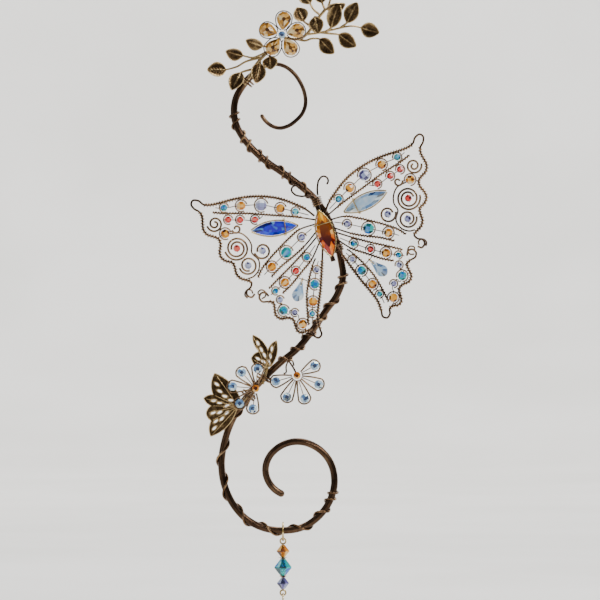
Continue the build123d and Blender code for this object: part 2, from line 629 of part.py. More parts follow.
def set_stone(length, width, depth):
    """A pointed oval stone along X facing Z, with its wire rim and the clip across it."""
    places = [share * length / 2 for share in STONE_SIDE_SHARES]
    near_side = [(x, -half_width(length, width, x)) for x in places]
    outline = near_side + [(-x, -y) for x, y in near_side]
    sections = [(-depth / 2, STONE_BACK_SHARE), (-STONE_GIRDLE / 2, 1), (STONE_GIRDLE / 2, 1),
                (depth / 2, STONE_TABLE_SHARE)]
    stone = cut_stone(outline, sections)
    rim = tube(rim_edges(length, width, RIM_CLEARANCE + RIM_WIRE / 2), RIM_WIRE)
    station = -CLIP_PLACE_SHARE * length / 2
    side = half_width(length, width, station) + RIM_CLEARANCE + RIM_WIRE + CLIP_CLEARANCE + CLIP_WIRE / 2
    rise = depth / 2 + CLIP_CLEARANCE + CLIP_WIRE / 2
    corners = [(station, CLIP_GAP / 2, -rise), (station, side, -rise), (station, side, rise),
               (station, -side, rise), (station, -side, -rise), (station, -CLIP_GAP / 2, -rise)]
    clip = tube(FilletPolyline(*corners, radius=CLIP_WIRE).edges(), CLIP_WIRE)
    return stone, rim, clip


def drop_stone(length, width, depth, hole, inset):
    """A teardrop hanging down from its drilled top, whose hole lies at the origin along Y."""
    shares = DROP_OUTLINE_SHARES + DROP_FOOT_SHARES
    right_side = [(share * width / 2, -fall * length) for fall, share in shares]
    outline = right_side + [(-x, z) for x, z in reversed(right_side)]
    lift = length / 2
    outline = [(x, z + lift) for x, z in outline]
    sections = [(-depth / 2, DROP_TABLE_SHARE), (-DROP_GIRDLE / 2, 1), (DROP_GIRDLE / 2, 1),
                (depth / 2, DROP_TABLE_SHARE)]
    stone = cut_stone(outline, sections)
    upright = Plane((0, 0, inset - lift), x_dir=(1, 0, 0), z_dir=FRONT).location * stone
    drill = Solid.make_cylinder(hole / 2, 2 * depth, Plane(FRONT * depth, z_dir=-FRONT))
    return one_solid(upright.cut(drill))


def butterfly_place(shape):
    """Leans a shape made about the butterfly's own axes and moves it to its place on the scroll."""
    return shape.rotate(Axis.Y, -BUTTERFLY_LEAN).translate(at(BUTTERFLY_PX, SPINE_DEPTH))


def wing_place(shape, side):
    """Lifts a shape made in the right wing's plane and moves it to the right or left wing."""
    lifted = shape.rotate(Axis.Z, -WING_LIFT)
    if side == "left":
        lifted = lifted.mirror(Plane.YZ)
    return butterfly_place(lifted)


def wing_wires(routes, diameter):
    """Smooth wires through places in the wing's plane."""
    return [tube(smooth([on_wing(px) for px in route]), diameter) for route in routes]


def bead_thread(start_px, beads, end_px):
    """A wire that runs straight through each bead in turn, and the beads on it."""
    stops = [on_wing(start_px)] + [on_wing(px) for _, _, px in beads] + [on_wing(end_px)]
    points, directions, placed = [stops[0]], [], []
    for place, (colour, size, _) in enumerate(beads, start=1):
        heading = (stops[place + 1] - stops[place - 1]).normalized()
        reach = heading * (size / 2 + STRING_MARGIN)
        points += [stops[place] - reach, stops[place] + reach]
        directions += [heading, heading]
        placed.append((colour, stand(cut_bead(size, ROUND_CUT_SHARES), stops[place], heading)))
    points.append(stops[-1])
    first = (points[1] - points[0]).normalized()
    last = (points[-1] - points[-2]).normalized()
    return tube(smooth(points, [first] + directions + [last]), STRING_WIRE), placed


def spiral(name, middle_px, outer_px, inner_px, turns, step, bead):
    """A flat wire spiral in the wing, and the bead on a short pin across its middle."""
    middle = on_wing(middle_px, step * SPIRAL_STEP)
    outer, inner = outer_px * WING_MM_PER_PX, inner_px * WING_MM_PER_PX
    count = round(QUARTERS * turns)
    points, directions = [], []
    for quarter in range(count + 1):
        angle = math.pi / 2 * quarter
        radius = outer + (inner - outer) * quarter / count
        ray = Vector(math.cos(angle), 0, -math.sin(angle))
        onward = Vector(-math.sin(angle), 0, -math.cos(angle))
        shrink = (inner - outer) / (turns * 2 * math.pi)
        points.append(middle + ray * radius)
        directions.append((onward * radius + ray * shrink).normalized())
    edges = smooth(points, directions)
    report_gap(name, Wire(edges), turns, SPIRAL_WIRE)
    wire = tube(edges, SPIRAL_WIRE)
    if bead is None:
        return wire, None, []
    colour, size = bead
    reach = UP * (size / 2 + STRING_MARGIN)
    pin = tube([Edge.make_line(middle - reach, middle + reach)], STRING_WIRE)
    return wire, pin, [(colour, stand(cut_bead(size, ROUND_CUT_SHARES), middle, UP))]


def wing_stone():
    """The pointed oval of the forewing with its rim and clip, in the wing's plane."""
    inner, outer = [on_wing(px) for px in WING_STONE_PX]
    span = outer - inner
    place = Plane((inner + outer) / 2, x_dir=span, z_dir=FRONT).location
    return [place * piece for piece in set_stone(WING_STONE_LENGTH, WING_STONE_WIDTH, WING_STONE_DEPTH)]


def wing_drop():
    """The hindwing teardrop, its ring, and the bar between two veins that the ring goes round."""
    top, foot = [on_wing(px) for px in WING_DROP_PX]
    fall = (foot - top).normalized()
    hole = top + fall * WING_DROP_INSET
    place = Plane(hole, x_dir=fall.cross(FRONT), z_dir=-fall)
    stone = drop_stone(WING_DROP_LENGTH, WING_DROP_WIDTH, WING_DROP_DEPTH, WING_DROP_HOLE, WING_DROP_INSET)
    stone = place.location * stone
    ring_middle = hole - fall * WING_RING_RADIUS
    ring = Solid.make_torus(WING_RING_RADIUS, STRING_WIRE / 2, Plane(ring_middle, z_dir=fall.cross(FRONT)))
    bar_middle = ring_middle - fall * (WING_RING_RADIUS - STRING_WIRE - RIM_CLEARANCE)
    upper, lower = [fall.cross(FRONT) * (reach * WING_MM_PER_PX) for reach in DROP_BAR_REACHES_PX]
    bar = tube([Edge.make_line(bar_middle - upper, bar_middle + lower)], STRING_WIRE)
    return stone, ring, bar


def wing(side):
    """All the pieces of one pair of wings, by node."""
    pieces = {
        f"{side}_forewing_frame": wing_wires([FOREWING_EDGE_PX], FRAME_WIRE),
        f"{side}_hindwing_frame": wing_wires([HINDWING_EDGE_PX], FRAME_WIRE),
        f"{side}_forewing_veins": wing_wires(FOREWING_VEINS_PX, VEIN_WIRE),
        f"{side}_hindwing_veins": wing_wires(HINDWING_VEINS_PX, VEIN_WIRE),
        f"{side}_wing_spirals": [],
        f"{side}_bead_threads": [],
    }
    placed = []
    for start, beads, end in BEAD_THREADS_PX:
        thread, threaded = bead_thread(start, beads, end)
        pieces[f"{side}_bead_threads"].append(thread)
        placed += threaded
    for number, (middle, outer, inner, turns, step, bead) in enumerate(SPIRALS_PX, start=1):
        wire, pin, middle_bead = spiral(f"{side} spiral {number}", middle, outer, inner, turns, step, bead)
        pieces[f"{side}_wing_spirals"].append(wire)
        pieces[f"{side}_bead_threads"] += [pin] if pin else []
        placed += middle_bead
    for colour, bead in placed:
        pieces.setdefault(f"{side}_{colour}_beads", []).append(bead)
    stone, rim, clip = wing_stone()
    drop, ring, bar = wing_drop()
    pieces[f"{side}_wing_stone"] = [stone]
    pieces["wing_stone_rims"] = [rim]
    pieces["wing_stone_clips"] = [clip]
    pieces["wing_drops"] = [drop]
    pieces["wing_drop_rings"] = [ring]
    pieces[f"{side}_bead_threads"].append(bar)
    return {node: [wing_place(solid, side) for solid in solids] for node, solids in pieces.items()}


def body():
    """The butterfly's spine with its wound thorax, and the rimmed stone clipped in front."""
    spine = tube([Edge.make_line((0, 0, -SPINE_BELOW), (0, 0, SPINE_ABOVE))], SPINE_WIRE)
    thorax_middle = UP * (THORAX_ABOVE - THORAX_PITCH * THORAX_TURNS / 2)
    thorax = coil("thorax", thorax_middle, UP, THORAX_TURNS, THORAX_PITCH, THORAX_RADIUS, THORAX_WIRE)
    face = Plane(FRONT * (BODY_STONE_DEPTH_AT - SPINE_DEPTH), x_dir=-UP, z_dir=FRONT)
    face = face.rotated((0, 0, BODY_STONE_TURN))
    stone, rim, clip = set_stone(BODY_STONE_LENGTH, BODY_STONE_WIDTH, BODY_STONE_DEPTH)
    pieces = {"body_spine": spine, "thorax_coil": thorax, "body_stone": face.location * stone,
              "body_stone_rim": face.location * rim, "body_stone_clip": face.location * clip}
    return {node: [butterfly_place(solid)] for node, solid in pieces.items()}


def bindings():
    """The two coils that bind the butterfly's spine to the scroll, above and below its wings."""
    axis = Wire(stem_edges())
    lean = math.radians(BUTTERFLY_LEAN)
    down = Vector(math.sin(lean), 0, -math.cos(lean))
    spine_middle = at(BUTTERFLY_PX, SPINE_DEPTH)
    coils = []
    places = (("head binding", -BINDING_ABOVE, HEAD_BINDING_TURNS),
              ("tail binding", BINDING_BELOW, TAIL_BINDING_TURNS))
    for name, along, turns in places:
        spine_point = spine_middle + down * along
        flat_point = Vector(spine_point.X, 0, spine_point.Z)
        length = lengths_along(axis, [flat_point])[0]
        stem_point = axis.position_at(length, PositionMode.LENGTH)
        apart = (spine_point - stem_point).length
        outward = (spine_point - stem_point).normalized()
        middle = stem_point + outward * ((apart + SPINE_WIRE / 2 - STEM_RADIUS) / 2)
        radius = (apart + SPINE_WIRE / 2 + STEM_RADIUS) / 2 + SEAT_CLEARANCE + BINDING_WIRE / 2
        coils.append(coil(name, middle, down, turns, BINDING_PITCH, radius, BINDING_WIRE))
    return coils


def antennae():
    """The two curled feelers above the spine."""
    return [tube(smooth([at(px, SPINE_DEPTH) for px in route]), ANTENNA_WIRE)
            for route in (LEFT_ANTENNA_PX, RIGHT_ANTENNA_PX)]


def eye(middle, plane_normal):
    """A closed wire eye on the dangle's pin."""
    return Solid.make_torus(EYE_RADIUS + PIN_WIRE / 2, PIN_WIRE / 2, Plane(middle, z_dir=plane_normal))


def dangle():
    """The hanger ring, the beads and caps on their pin, and the drop on its own ring."""
    rod = at(DANGLE_PX)
    ring_reach = RING_RADIUS + RING_WIRE / 2
    ring_middle = rod + UP * (WRAPPED_RADIUS + LINK_CLEARANCE - RING_RADIUS)
    pin_pivot = ring_middle - UP * ring_reach
    upper_eye = pin_pivot + UP * (RING_WIRE / 2 + LINK_CLEARANCE - EYE_RADIUS)
    stack = upper_eye - UP * (EYE_RADIUS + PIN_WIRE + BEAD_PLAY)
    ring = Solid.make_torus(ring_reach, RING_WIRE / 2, Plane(ring_middle, z_dir=(1, 0, 0)))
    nodes = {"hanger_ring": [ring], "dangle_caps": []}
    heights = {"amber_bicone": AMBER_BICONE, "teal_bicone": TEAL_BICONE, "grey_bicone": GREY_BICONE}
    hole = PIN_WIRE + 2 * BEAD_PLAY
    for number, (node, size) in enumerate(heights.items()):
        if number:
            cap = Solid.make_cone(CAP_RADIUS, hole, CAP_THICKNESS, Plane(stack, z_dir=-UP))
            drill = Solid.make_cylinder(hole / 2, CAP_THICKNESS, Plane(stack, z_dir=-UP))
            nodes["dangle_caps"].append(one_solid(cap.cut(drill)))
            stack = stack - UP * (CAP_THICKNESS + BEAD_PLAY)
        half_height = BICONE_CUT_SHARES[-1][0] * size / 2
        nodes[node] = [stand(cut_bead(size, BICONE_CUT_SHARES, hole), stack - UP * half_height, UP)]
        stack = stack - UP * (2 * half_height + BEAD_PLAY)
    lower_eye = stack - UP * (EYE_RADIUS + PIN_WIRE)
    shank_top = upper_eye - UP * (EYE_RADIUS + PIN_WIRE / 2)
    shank_end = lower_eye + UP * (EYE_RADIUS + PIN_WIRE / 2)
    shank = tube([Edge.make_line(shank_top, shank_end)], PIN_WIRE)
    nodes["dangle_pin"] = [one_solid(shank.fuse(eye(upper_eye, FRONT), eye(lower_eye, FRONT)))]
    drop_pivot = lower_eye - UP * (EYE_RADIUS + PIN_WIRE / 2)
    drop_reach = DROP_RING_RADIUS + PIN_WIRE / 2
    drop_ring = drop_pivot + UP * (PIN_WIRE / 2 + LINK_CLEARANCE - DROP_RING_RADIUS)
    nodes["drop_ring"] = [Solid.make_torus(drop_reach, PIN_WIRE / 2, Plane(drop_ring, z_dir=(1, 0, 0)))]
    drop_hole = drop_ring - UP * drop_reach
    drop = drop_stone(HUNG_DROP_LENGTH, HUNG_DROP_WIDTH, HUNG_DROP_DEPTH, HUNG_DROP_HOLE, HUNG_DROP_INSET)
    nodes["drop_crystal"] = [drop.translate(drop_hole)]
    pivots = (("rod", rod), ("pin pivot", pin_pivot), ("ring pivot", drop_pivot), ("drop pivot", drop_hole))
    for name, place in pivots:
        print(f"{name}: {place.X:.3f} {place.Y:.3f} {place.Z:.3f}")
    return nodes


def top_spray():
    """The leaf sprigs, their tie and the crystal flower in front of them."""
    flower_end = [at(FLOWER_PX, SPRIG_DEPTH)]
    beads, wires, centre = flower(FLOWER_PX, FLOWER_PETALS_PX, FLOWER_DEPTH, FLOWER_PETAL, BICONE_CUT_SHARES,
                                  FLOWER_CENTRE, flower_end)
    return {
        "left_leaf_sprig": [sprig(LEFT_MAIN_PX, LEFT_BRANCHES_PX)],
        "right_leaf_sprig": [sprig(RIGHT_MAIN_PX, RIGHT_BRANCHES_PX)],
        "sprig_tie": [tie("sprig tie", SPRIG_TIE_PX, SPRIG_DEPTH, SPRIG_THICKNESS / 2)],
        "flower_petals": beads,
        "flower_wires": wires,
        "flower_centre": [centre],
    }


def lower_spray():
    """The two pierced leaves, their ties and the two crystal blossoms."""
    left_end = [at(LEFT_BLOSSOM_PX, STEM_RADIUS + STALK_CLEARANCE)]
    stalk_depth = WRAPPED_RADIUS + STALK_CLEARANCE + STALK_WIRE / 2
    right_end = [at(px, stalk_depth) for px in RIGHT_STALK_END_PX]
    left = flower(LEFT_BLOSSOM_PX, LEFT_PETALS_PX, BLOSSOM_DEPTH, BLOSSOM_PETAL, ROUND_CUT_SHARES,
                  BLOSSOM_CENTRE, left_end)
    right = flower(RIGHT_BLOSSOM_PX, RIGHT_PETALS_PX, BLOSSOM_DEPTH, BLOSSOM_PETAL, ROUND_CUT_SHARES,
                   BLOSSOM_CENTRE, right_end)
    half = FILIGREE_THICKNESS / 2
    return {
        "lower_filigree_leaf": [filigree_leaf(LOWER_LEAF_PX, LOWER_TANG_PX, LOWER_HOLES_PX)],
        "upper_filigree_leaf": [filigree_leaf(UPPER_LEAF_PX, UPPER_TANG_PX, UPPER_HOLES_PX)],
        "leaf_ties": [tie("lower leaf tie", LOWER_TIE_PX, FILIGREE_DEPTH, half),
                      tie("upper leaf tie", UPPER_TIE_PX, FILIGREE_DEPTH, half)],
        "left_blossom_petals": left[0],
        "left_blossom_wires": left[1],
        "right_blossom_petals": right[0],
        "right_blossom_wires": right[1],
        "blossom_centres": [left[2], right[2]],
    }


def ornament():
    """Every piece of the ornament, by node."""
    nodes = {
        "scroll_stem": [scroll_stem()],
        "upper_stem_wrap": [stem_wrap("upper wrap", UPPER_CROSSINGS_PX)],
        "middle_stem_wrap": [stem_wrap("middle wrap", MIDDLE_CROSSINGS_PX)],
        "lower_stem_wrap": [stem_wrap("lower wrap", LOWER_CROSSINGS_PX)],
        "butterfly_bindings": bindings(),
        "antennae": antennae(),
    }
    for assembly in (body(), wing("left"), wing("right"), top_spray(), lower_spray(), dangle()):
        for node, solids in assembly.items():
            nodes.setdefault(node, [])
            nodes[node] = nodes[node] + solids
    return nodes


os.makedirs("parts", exist_ok=True)
for node, solids in ornament().items():
    shape = solids[0] if len(solids) == 1 else Compound(children=solids)
    export_step(shape, f"parts/{node}.step")
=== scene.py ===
"""Dresses the wire and crystal butterfly ornament and sets it in a plain pale studio.

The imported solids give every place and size. The stamped leaves, the wing wires, the windings of the
rod, the bindings, the blossom loops and the flower's petals are made anew here, with cupped blades,
rolled rims, pierced work, wound wire and cut facets. Fine wires round the wing beads and a few loose
curls are added. Every other piece keeps its solid and gets the finish of the real material.
"""

import bisect
import json
import logging
import math
from dataclasses import dataclass
from enum import Enum
from functools import cached_property
from typing import Callable, ClassVar

import bmesh
import bpy
from mathutils import Matrix, Vector, geometry


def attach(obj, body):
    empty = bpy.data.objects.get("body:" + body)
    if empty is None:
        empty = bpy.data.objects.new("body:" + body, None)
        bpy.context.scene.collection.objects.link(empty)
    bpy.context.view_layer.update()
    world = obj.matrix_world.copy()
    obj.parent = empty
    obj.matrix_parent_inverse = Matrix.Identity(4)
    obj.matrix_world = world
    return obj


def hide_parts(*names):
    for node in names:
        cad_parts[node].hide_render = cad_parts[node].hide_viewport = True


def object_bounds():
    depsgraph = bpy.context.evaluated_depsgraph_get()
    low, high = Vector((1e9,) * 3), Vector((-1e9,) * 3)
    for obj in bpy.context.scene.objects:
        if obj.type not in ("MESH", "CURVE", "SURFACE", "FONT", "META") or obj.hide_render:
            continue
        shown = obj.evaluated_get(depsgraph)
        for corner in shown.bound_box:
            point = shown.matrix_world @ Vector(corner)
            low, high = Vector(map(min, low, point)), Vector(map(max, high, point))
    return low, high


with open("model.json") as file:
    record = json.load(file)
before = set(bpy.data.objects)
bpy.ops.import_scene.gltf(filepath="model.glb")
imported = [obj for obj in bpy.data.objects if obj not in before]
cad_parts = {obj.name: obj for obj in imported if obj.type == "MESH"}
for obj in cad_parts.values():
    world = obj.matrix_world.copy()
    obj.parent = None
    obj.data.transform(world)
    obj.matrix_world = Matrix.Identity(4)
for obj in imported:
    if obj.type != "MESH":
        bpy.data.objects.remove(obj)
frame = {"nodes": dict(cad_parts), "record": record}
CAD_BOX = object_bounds()

LOG = logging.getLogger("butterfly_ornament")
MM = 0.001
SCROLL_HEIGHT_MM = 196.0
SCROLL_HEIGHT_PX = 466.5
MM_PER_PX = SCROLL_HEIGHT_MM / SCROLL_HEIGHT_PX
HANG_PX = (275.0, 66.0)
FRONT = Vector((0.0, -1.0, 0.0))
ROOT = "ornament"
POLISH_AND_HIGHLIGHT_ATTRIBUTE = "rub"
ROD_STEPS = 24

Px = tuple[float, float]
Route = tuple[Px, ...]
Link = tuple[bpy.types.Node, str | int]
Stops = tuple[tuple[float, str], ...]


def at(px: Px, depth_mm: float = 0.0) -> Vector:
    """Turns a place in the photograph into a point of the frame.

    Args:
        px: Pixel, x to the right and y down.
        depth_mm: How far the point stands in front of the scroll's plane.

    Returns:
        The point in metres.
    """
    x_mm = (px[0] - HANG_PX[0]) * MM_PER_PX
    z_mm = (HANG_PX[1] - px[1]) * MM_PER_PX
    return Vector((x_mm, -depth_mm, z_mm)) * MM


def linear(hex_colour: str) -> tuple[float, float, float, float]:
    """Turns an sRGB hex colour into linear light.

    Args:
        hex_colour: Colour such as "#a08a58".

    Returns:
        Linear red, green and blue, and full alpha.
    """
    shares = [int(hex_colour[start:start + 2], 16) / 255 for start in (1, 3, 5)]
    light = [share / 12.92 if share <= 0.04045 else ((share + 0.055) / 1.055) ** 2.4 for share in shares]
    return (light[0], light[1], light[2], 1.0)


def add_node(
    tree: bpy.types.NodeTree, kind: str, settings: dict[str, object], links: dict[str | int, Link]
) -> bpy.types.Node:
    """Adds one node with its settings and the links into it.

    Args:
        tree: The material's node tree.
        kind: Blender's name of the node type.
        settings: Values by property or by input socket; properties are set first.
        links: Source node and output name, by the name or number of an input socket.

    Returns:
        The new node.
    """
    node = tree.nodes.new(kind)
    for name, value in settings.items():
        if name not in node.inputs:
            setattr(node, name, value)
    for name, value in settings.items():
        if name in node.inputs:
            node.inputs[name].default_value = value
    for name, (source, output) in links.items():
        tree.links.new(source.outputs[output], node.inputs[name])
    return node


def empty_material(name: str) -> bpy.types.Material:
    """Starts a node material with nothing in its tree.

    Args:
        name: Common name of the material.

    Returns:
        The material.
    """
    material = bpy.data.materials.new(name)
    material.use_nodes = True
    material.node_tree.nodes.clear()
    return material


def fill_ramp(node: bpy.types.Node, stops: Stops) -> None:
    """Gives a colour ramp its stops.

    Args:
        node: The ramp node.
        stops: Place along the ramp and hex colour of each stop, in order.
    """
    elements = node.color_ramp.elements
    while len(elements) < len(stops):
        elements.new(1.0)
    for element, (share, colour) in zip(elements, stops):
        element.position = share
        element.color = linear(colour)


@dataclass(frozen=True)
class AgedMetal:
    """A copper alloy that was darkened in a bath and polished bright where it stands proud, with a painted
    highlight on the same places.

    Attributes:
        name: Common name of the metal and how it was made.
        stops: Colours from the darkest patina to bright polished metal.
        roughness: Least and most roughness.
        patch_mm: Width of the patches of patina.
        grit_mm: Width of the fine marks that break the highlight, drawn coarser than the real ones.
        bump_mm: Height of those marks.
        rub_share: How far the mesh's own marks of polish and painted highlight, where it has them, shift the
            colour.
    """

    name: str
    stops: Stops
    roughness: tuple[float, float]
    patch_mm: float
    grit_mm: float
    bump_mm: float
    rub_share: float = 0.0

    def material(self) -> bpy.types.Material:
        """Builds the node material.

        Returns:
            The material, with its patina and marks in the object's own coordinates.
        """
        material = empty_material(self.name)
        tree = material.node_tree
        spot = add_node(tree, "ShaderNodeTexCoord", {}, {})
        patina = add_node(
            tree, "ShaderNodeTexNoise",
            {"Scale": 1 / (self.patch_mm * MM), "Detail": 4.0, "Roughness": 0.6},
            {"Vector": (spot, "Object")},
        )
        grit = add_node(
            tree, "ShaderNodeTexNoise",
            {"Scale": 1 / (self.grit_mm * MM), "Detail": 2.0}, {"Vector": (spot, "Object")},
        )
        share: Link = (patina, "Fac")
        # The mesh's own marks lift the colour towards the bright stops: polish where it stands proud, and a
        # painted highlight
        if self.rub_share:
            polish_and_highlight_values = add_node(tree, "ShaderNodeAttribute", {"attribute_name": POLISH_AND_HIGHLIGHT_ATTRIBUTE}, {})
            scaled = add_node(tree, "ShaderNodeMath", {"operation": "MULTIPLY"}, {0: (polish_and_highlight_values, "Fac")})
            scaled.inputs[1].default_value = self.rub_share
            patina_polish_and_highlight = add_node(
                tree, "ShaderNodeMath", {"operation": "ADD", "use_clamp": True},
                {0: (scaled, "Value"), 1: (patina, "Fac")},
            )
            share = (patina_polish_and_highlight, "Value")
        tint = add_node(tree, "ShaderNodeValToRGB", {}, {"Fac": share})
        fill_ramp(tint, self.stops)
        dull = add_node(
            tree, "ShaderNodeMapRange",
            {"From Min": 0.3, "From Max": 0.7, "To Min": self.roughness[0], "To Max": self.roughness[1]},
            {"Value": (grit, "Fac")},
        )
        bump = add_node(
            tree, "ShaderNodeBump", {"Strength": 0.6, "Distance": self.bump_mm * MM},
            {"Height": (grit, "Fac")},
        )
        shader = add_node(
            tree, "ShaderNodeBsdfPrincipled", {"Metallic": 1.0},
            {"Base Color": (tint, "Color"), "Roughness": (dull, "Result"), "Normal": (bump, "Normal")},
        )
        add_node(tree, "ShaderNodeOutputMaterial", {}, {"Surface": (shader, "BSDF")})
        return material


@dataclass(frozen=True)
class CutCrystal:
    """Machine-cut and polished crystal glass, each facet painted with its own flash of colour, a painted
    reflection.

    Attributes:
        name: Common name of the glass and its cut.
        stops: Colours from the facets that look deep to those painted with a flash of reflected light.
        low_stops: The same for the lower end of a stone whose coat changes colour, or none.
        span_mm: Lowest and highest place of that change, in the frame.
        transmission: How much of the light goes through.
        cloud_mm: Width of the soft drift of colour inside the stone.
        cloud_share: How much of the colour comes from that drift, and not from the facet.
        facing_step: Least change of direction that makes another facet.
        film_nm: Thickness of the iridescent coat, or zero.
    """

    name: str
    stops: Stops
    low_stops: Stops = ()
    span_mm: tuple[float, float] = (0.0, 0.0)
    transmission: float = 0.35
    cloud_mm: float = 3.0
    cloud_share: float = 0.35
    facing_step: float = 0.16
    film_nm: float = 0.0

    def material(self) -> bpy.types.Material:
        """Builds the node material.

        Returns:
            The material, with one random share for each direction that a facet faces.
        """
        material = empty_material(self.name)
        tree = material.node_tree
        spot = add_node(tree, "ShaderNodeTexCoord", {}, {})
        # The colour is picked by the way each facet faces, so its flashes and pale glints are painted
        # reflections fixed on the glass
        facing = add_node(tree, "ShaderNodeVectorMath", {"operation": "SNAP"}, {0: (spot, "Normal")})
        facing.inputs[1].default_value = (self.facing_step,) * 3
        facet = add_node(tree, "ShaderNodeTexWhiteNoise", {}, {"Vector": (facing, "Vector")})
        cloud = add_node(
            tree, "ShaderNodeTexNoise", {"Scale": 1 / (self.cloud_mm * MM), "Detail": 1.0},
            {"Vector": (spot, "Object")},
        )
        share = add_node(
            tree, "ShaderNodeMix", {"data_type": "FLOAT"}, {2: (facet, "Value"), 3: (cloud, "Fac")}
        )
        share.inputs[0].default_value = self.cloud_share
        tint = add_node(tree, "ShaderNodeValToRGB", {}, {"Fac": (share, "Result")})
        fill_ramp(tint, self.stops)
        colour: Link = (tint, "Color")
        if self.low_stops:
            parts = add_node(tree, "ShaderNodeSeparateXYZ", {}, {"Vector": (spot, "Object")})
            rise = add_node(
                tree, "ShaderNodeMapRange",
                {"From Min": self.span_mm[0] * MM, "From Max": self.span_mm[1] * MM}, {"Value": (parts, "Z")},
            )
            low = add_node(tree, "ShaderNodeValToRGB", {}, {"Fac": (share, "Result")})
            fill_ramp(low, self.low_stops)
            both = add_node(
                tree, "ShaderNodeMix", {"data_type": "RGBA"},
                {0: (rise, "Result"), 6: (low, "Color"), 7: (tint, "Color")},
            )
            colour = (both, 2)
        shader = add_node(
            tree, "ShaderNodeBsdfPrincipled",
            {"Roughness": 0.04, "IOR": 1.56, "Transmission Weight": self.transmission,
             "Thin Film Thickness": self.film_nm, "Thin Film IOR": 1.8},
            {"Base Color": colour},
        )
        add_node(tree, "ShaderNodeOutputMaterial", {}, {"Surface": (shader, "BSDF")})
        return material


@dataclass(frozen=True)
class StudioPaper:
    """Matt seamless background paper on a roll.

    Attributes:
        name: What it is.
        stops: The two tones of its faint clouding.
        cloud_mm: Width of that clouding.
    """

    name: str = "matt seamless studio paper"
    stops: Stops = ((0.35, "#e6e4df"), (0.65, "#edebe7"))
    cloud_mm: float = 180.0

    def material(self) -> bpy.types.Material:
        """Builds the node material.

        Returns:
            The material, dull and pale with hardly any tone in it.
        """
        material = empty_material(self.name)
        tree = material.node_tree
        spot = add_node(tree, "ShaderNodeTexCoord", {}, {})
        cloud = add_node(
            tree, "ShaderNodeTexNoise", {"Scale": 1 / (self.cloud_mm * MM)}, {"Vector": (spot, "Object")}
        )
        tint = add_node(tree, "ShaderNodeValToRGB", {}, {"Fac": (cloud, "Fac")})
        fill_ramp(tint, self.stops)
        shader = add_node(
            tree, "ShaderNodeBsdfPrincipled", {"Roughness": 0.9}, {"Base Color": (tint, "Color")}
        )
        add_node(tree, "ShaderNodeOutputMaterial", {}, {"Surface": (shader, "BSDF")})
        return material


class Slot(Enum):
    """The record's material slots."""

    BRONZE_WIRE = "bronze_wire"
    WRAP_WIRE = "wrap_wire"
    ANTIQUE_BRASS = "antique_brass"
    GILT_WIRE = "gilt_wire"
    TEAL = "teal_crystal"
    AMBER = "amber_crystal"
    VIOLET = "violet_crystal"
    ROSE = "rose_crystal"
    CHAMPAGNE = "champagne_crystal"
    FIRE = "fire_crystal"
    BLUE = "blue_crystal"
    CLEAR = "clear_crystal"


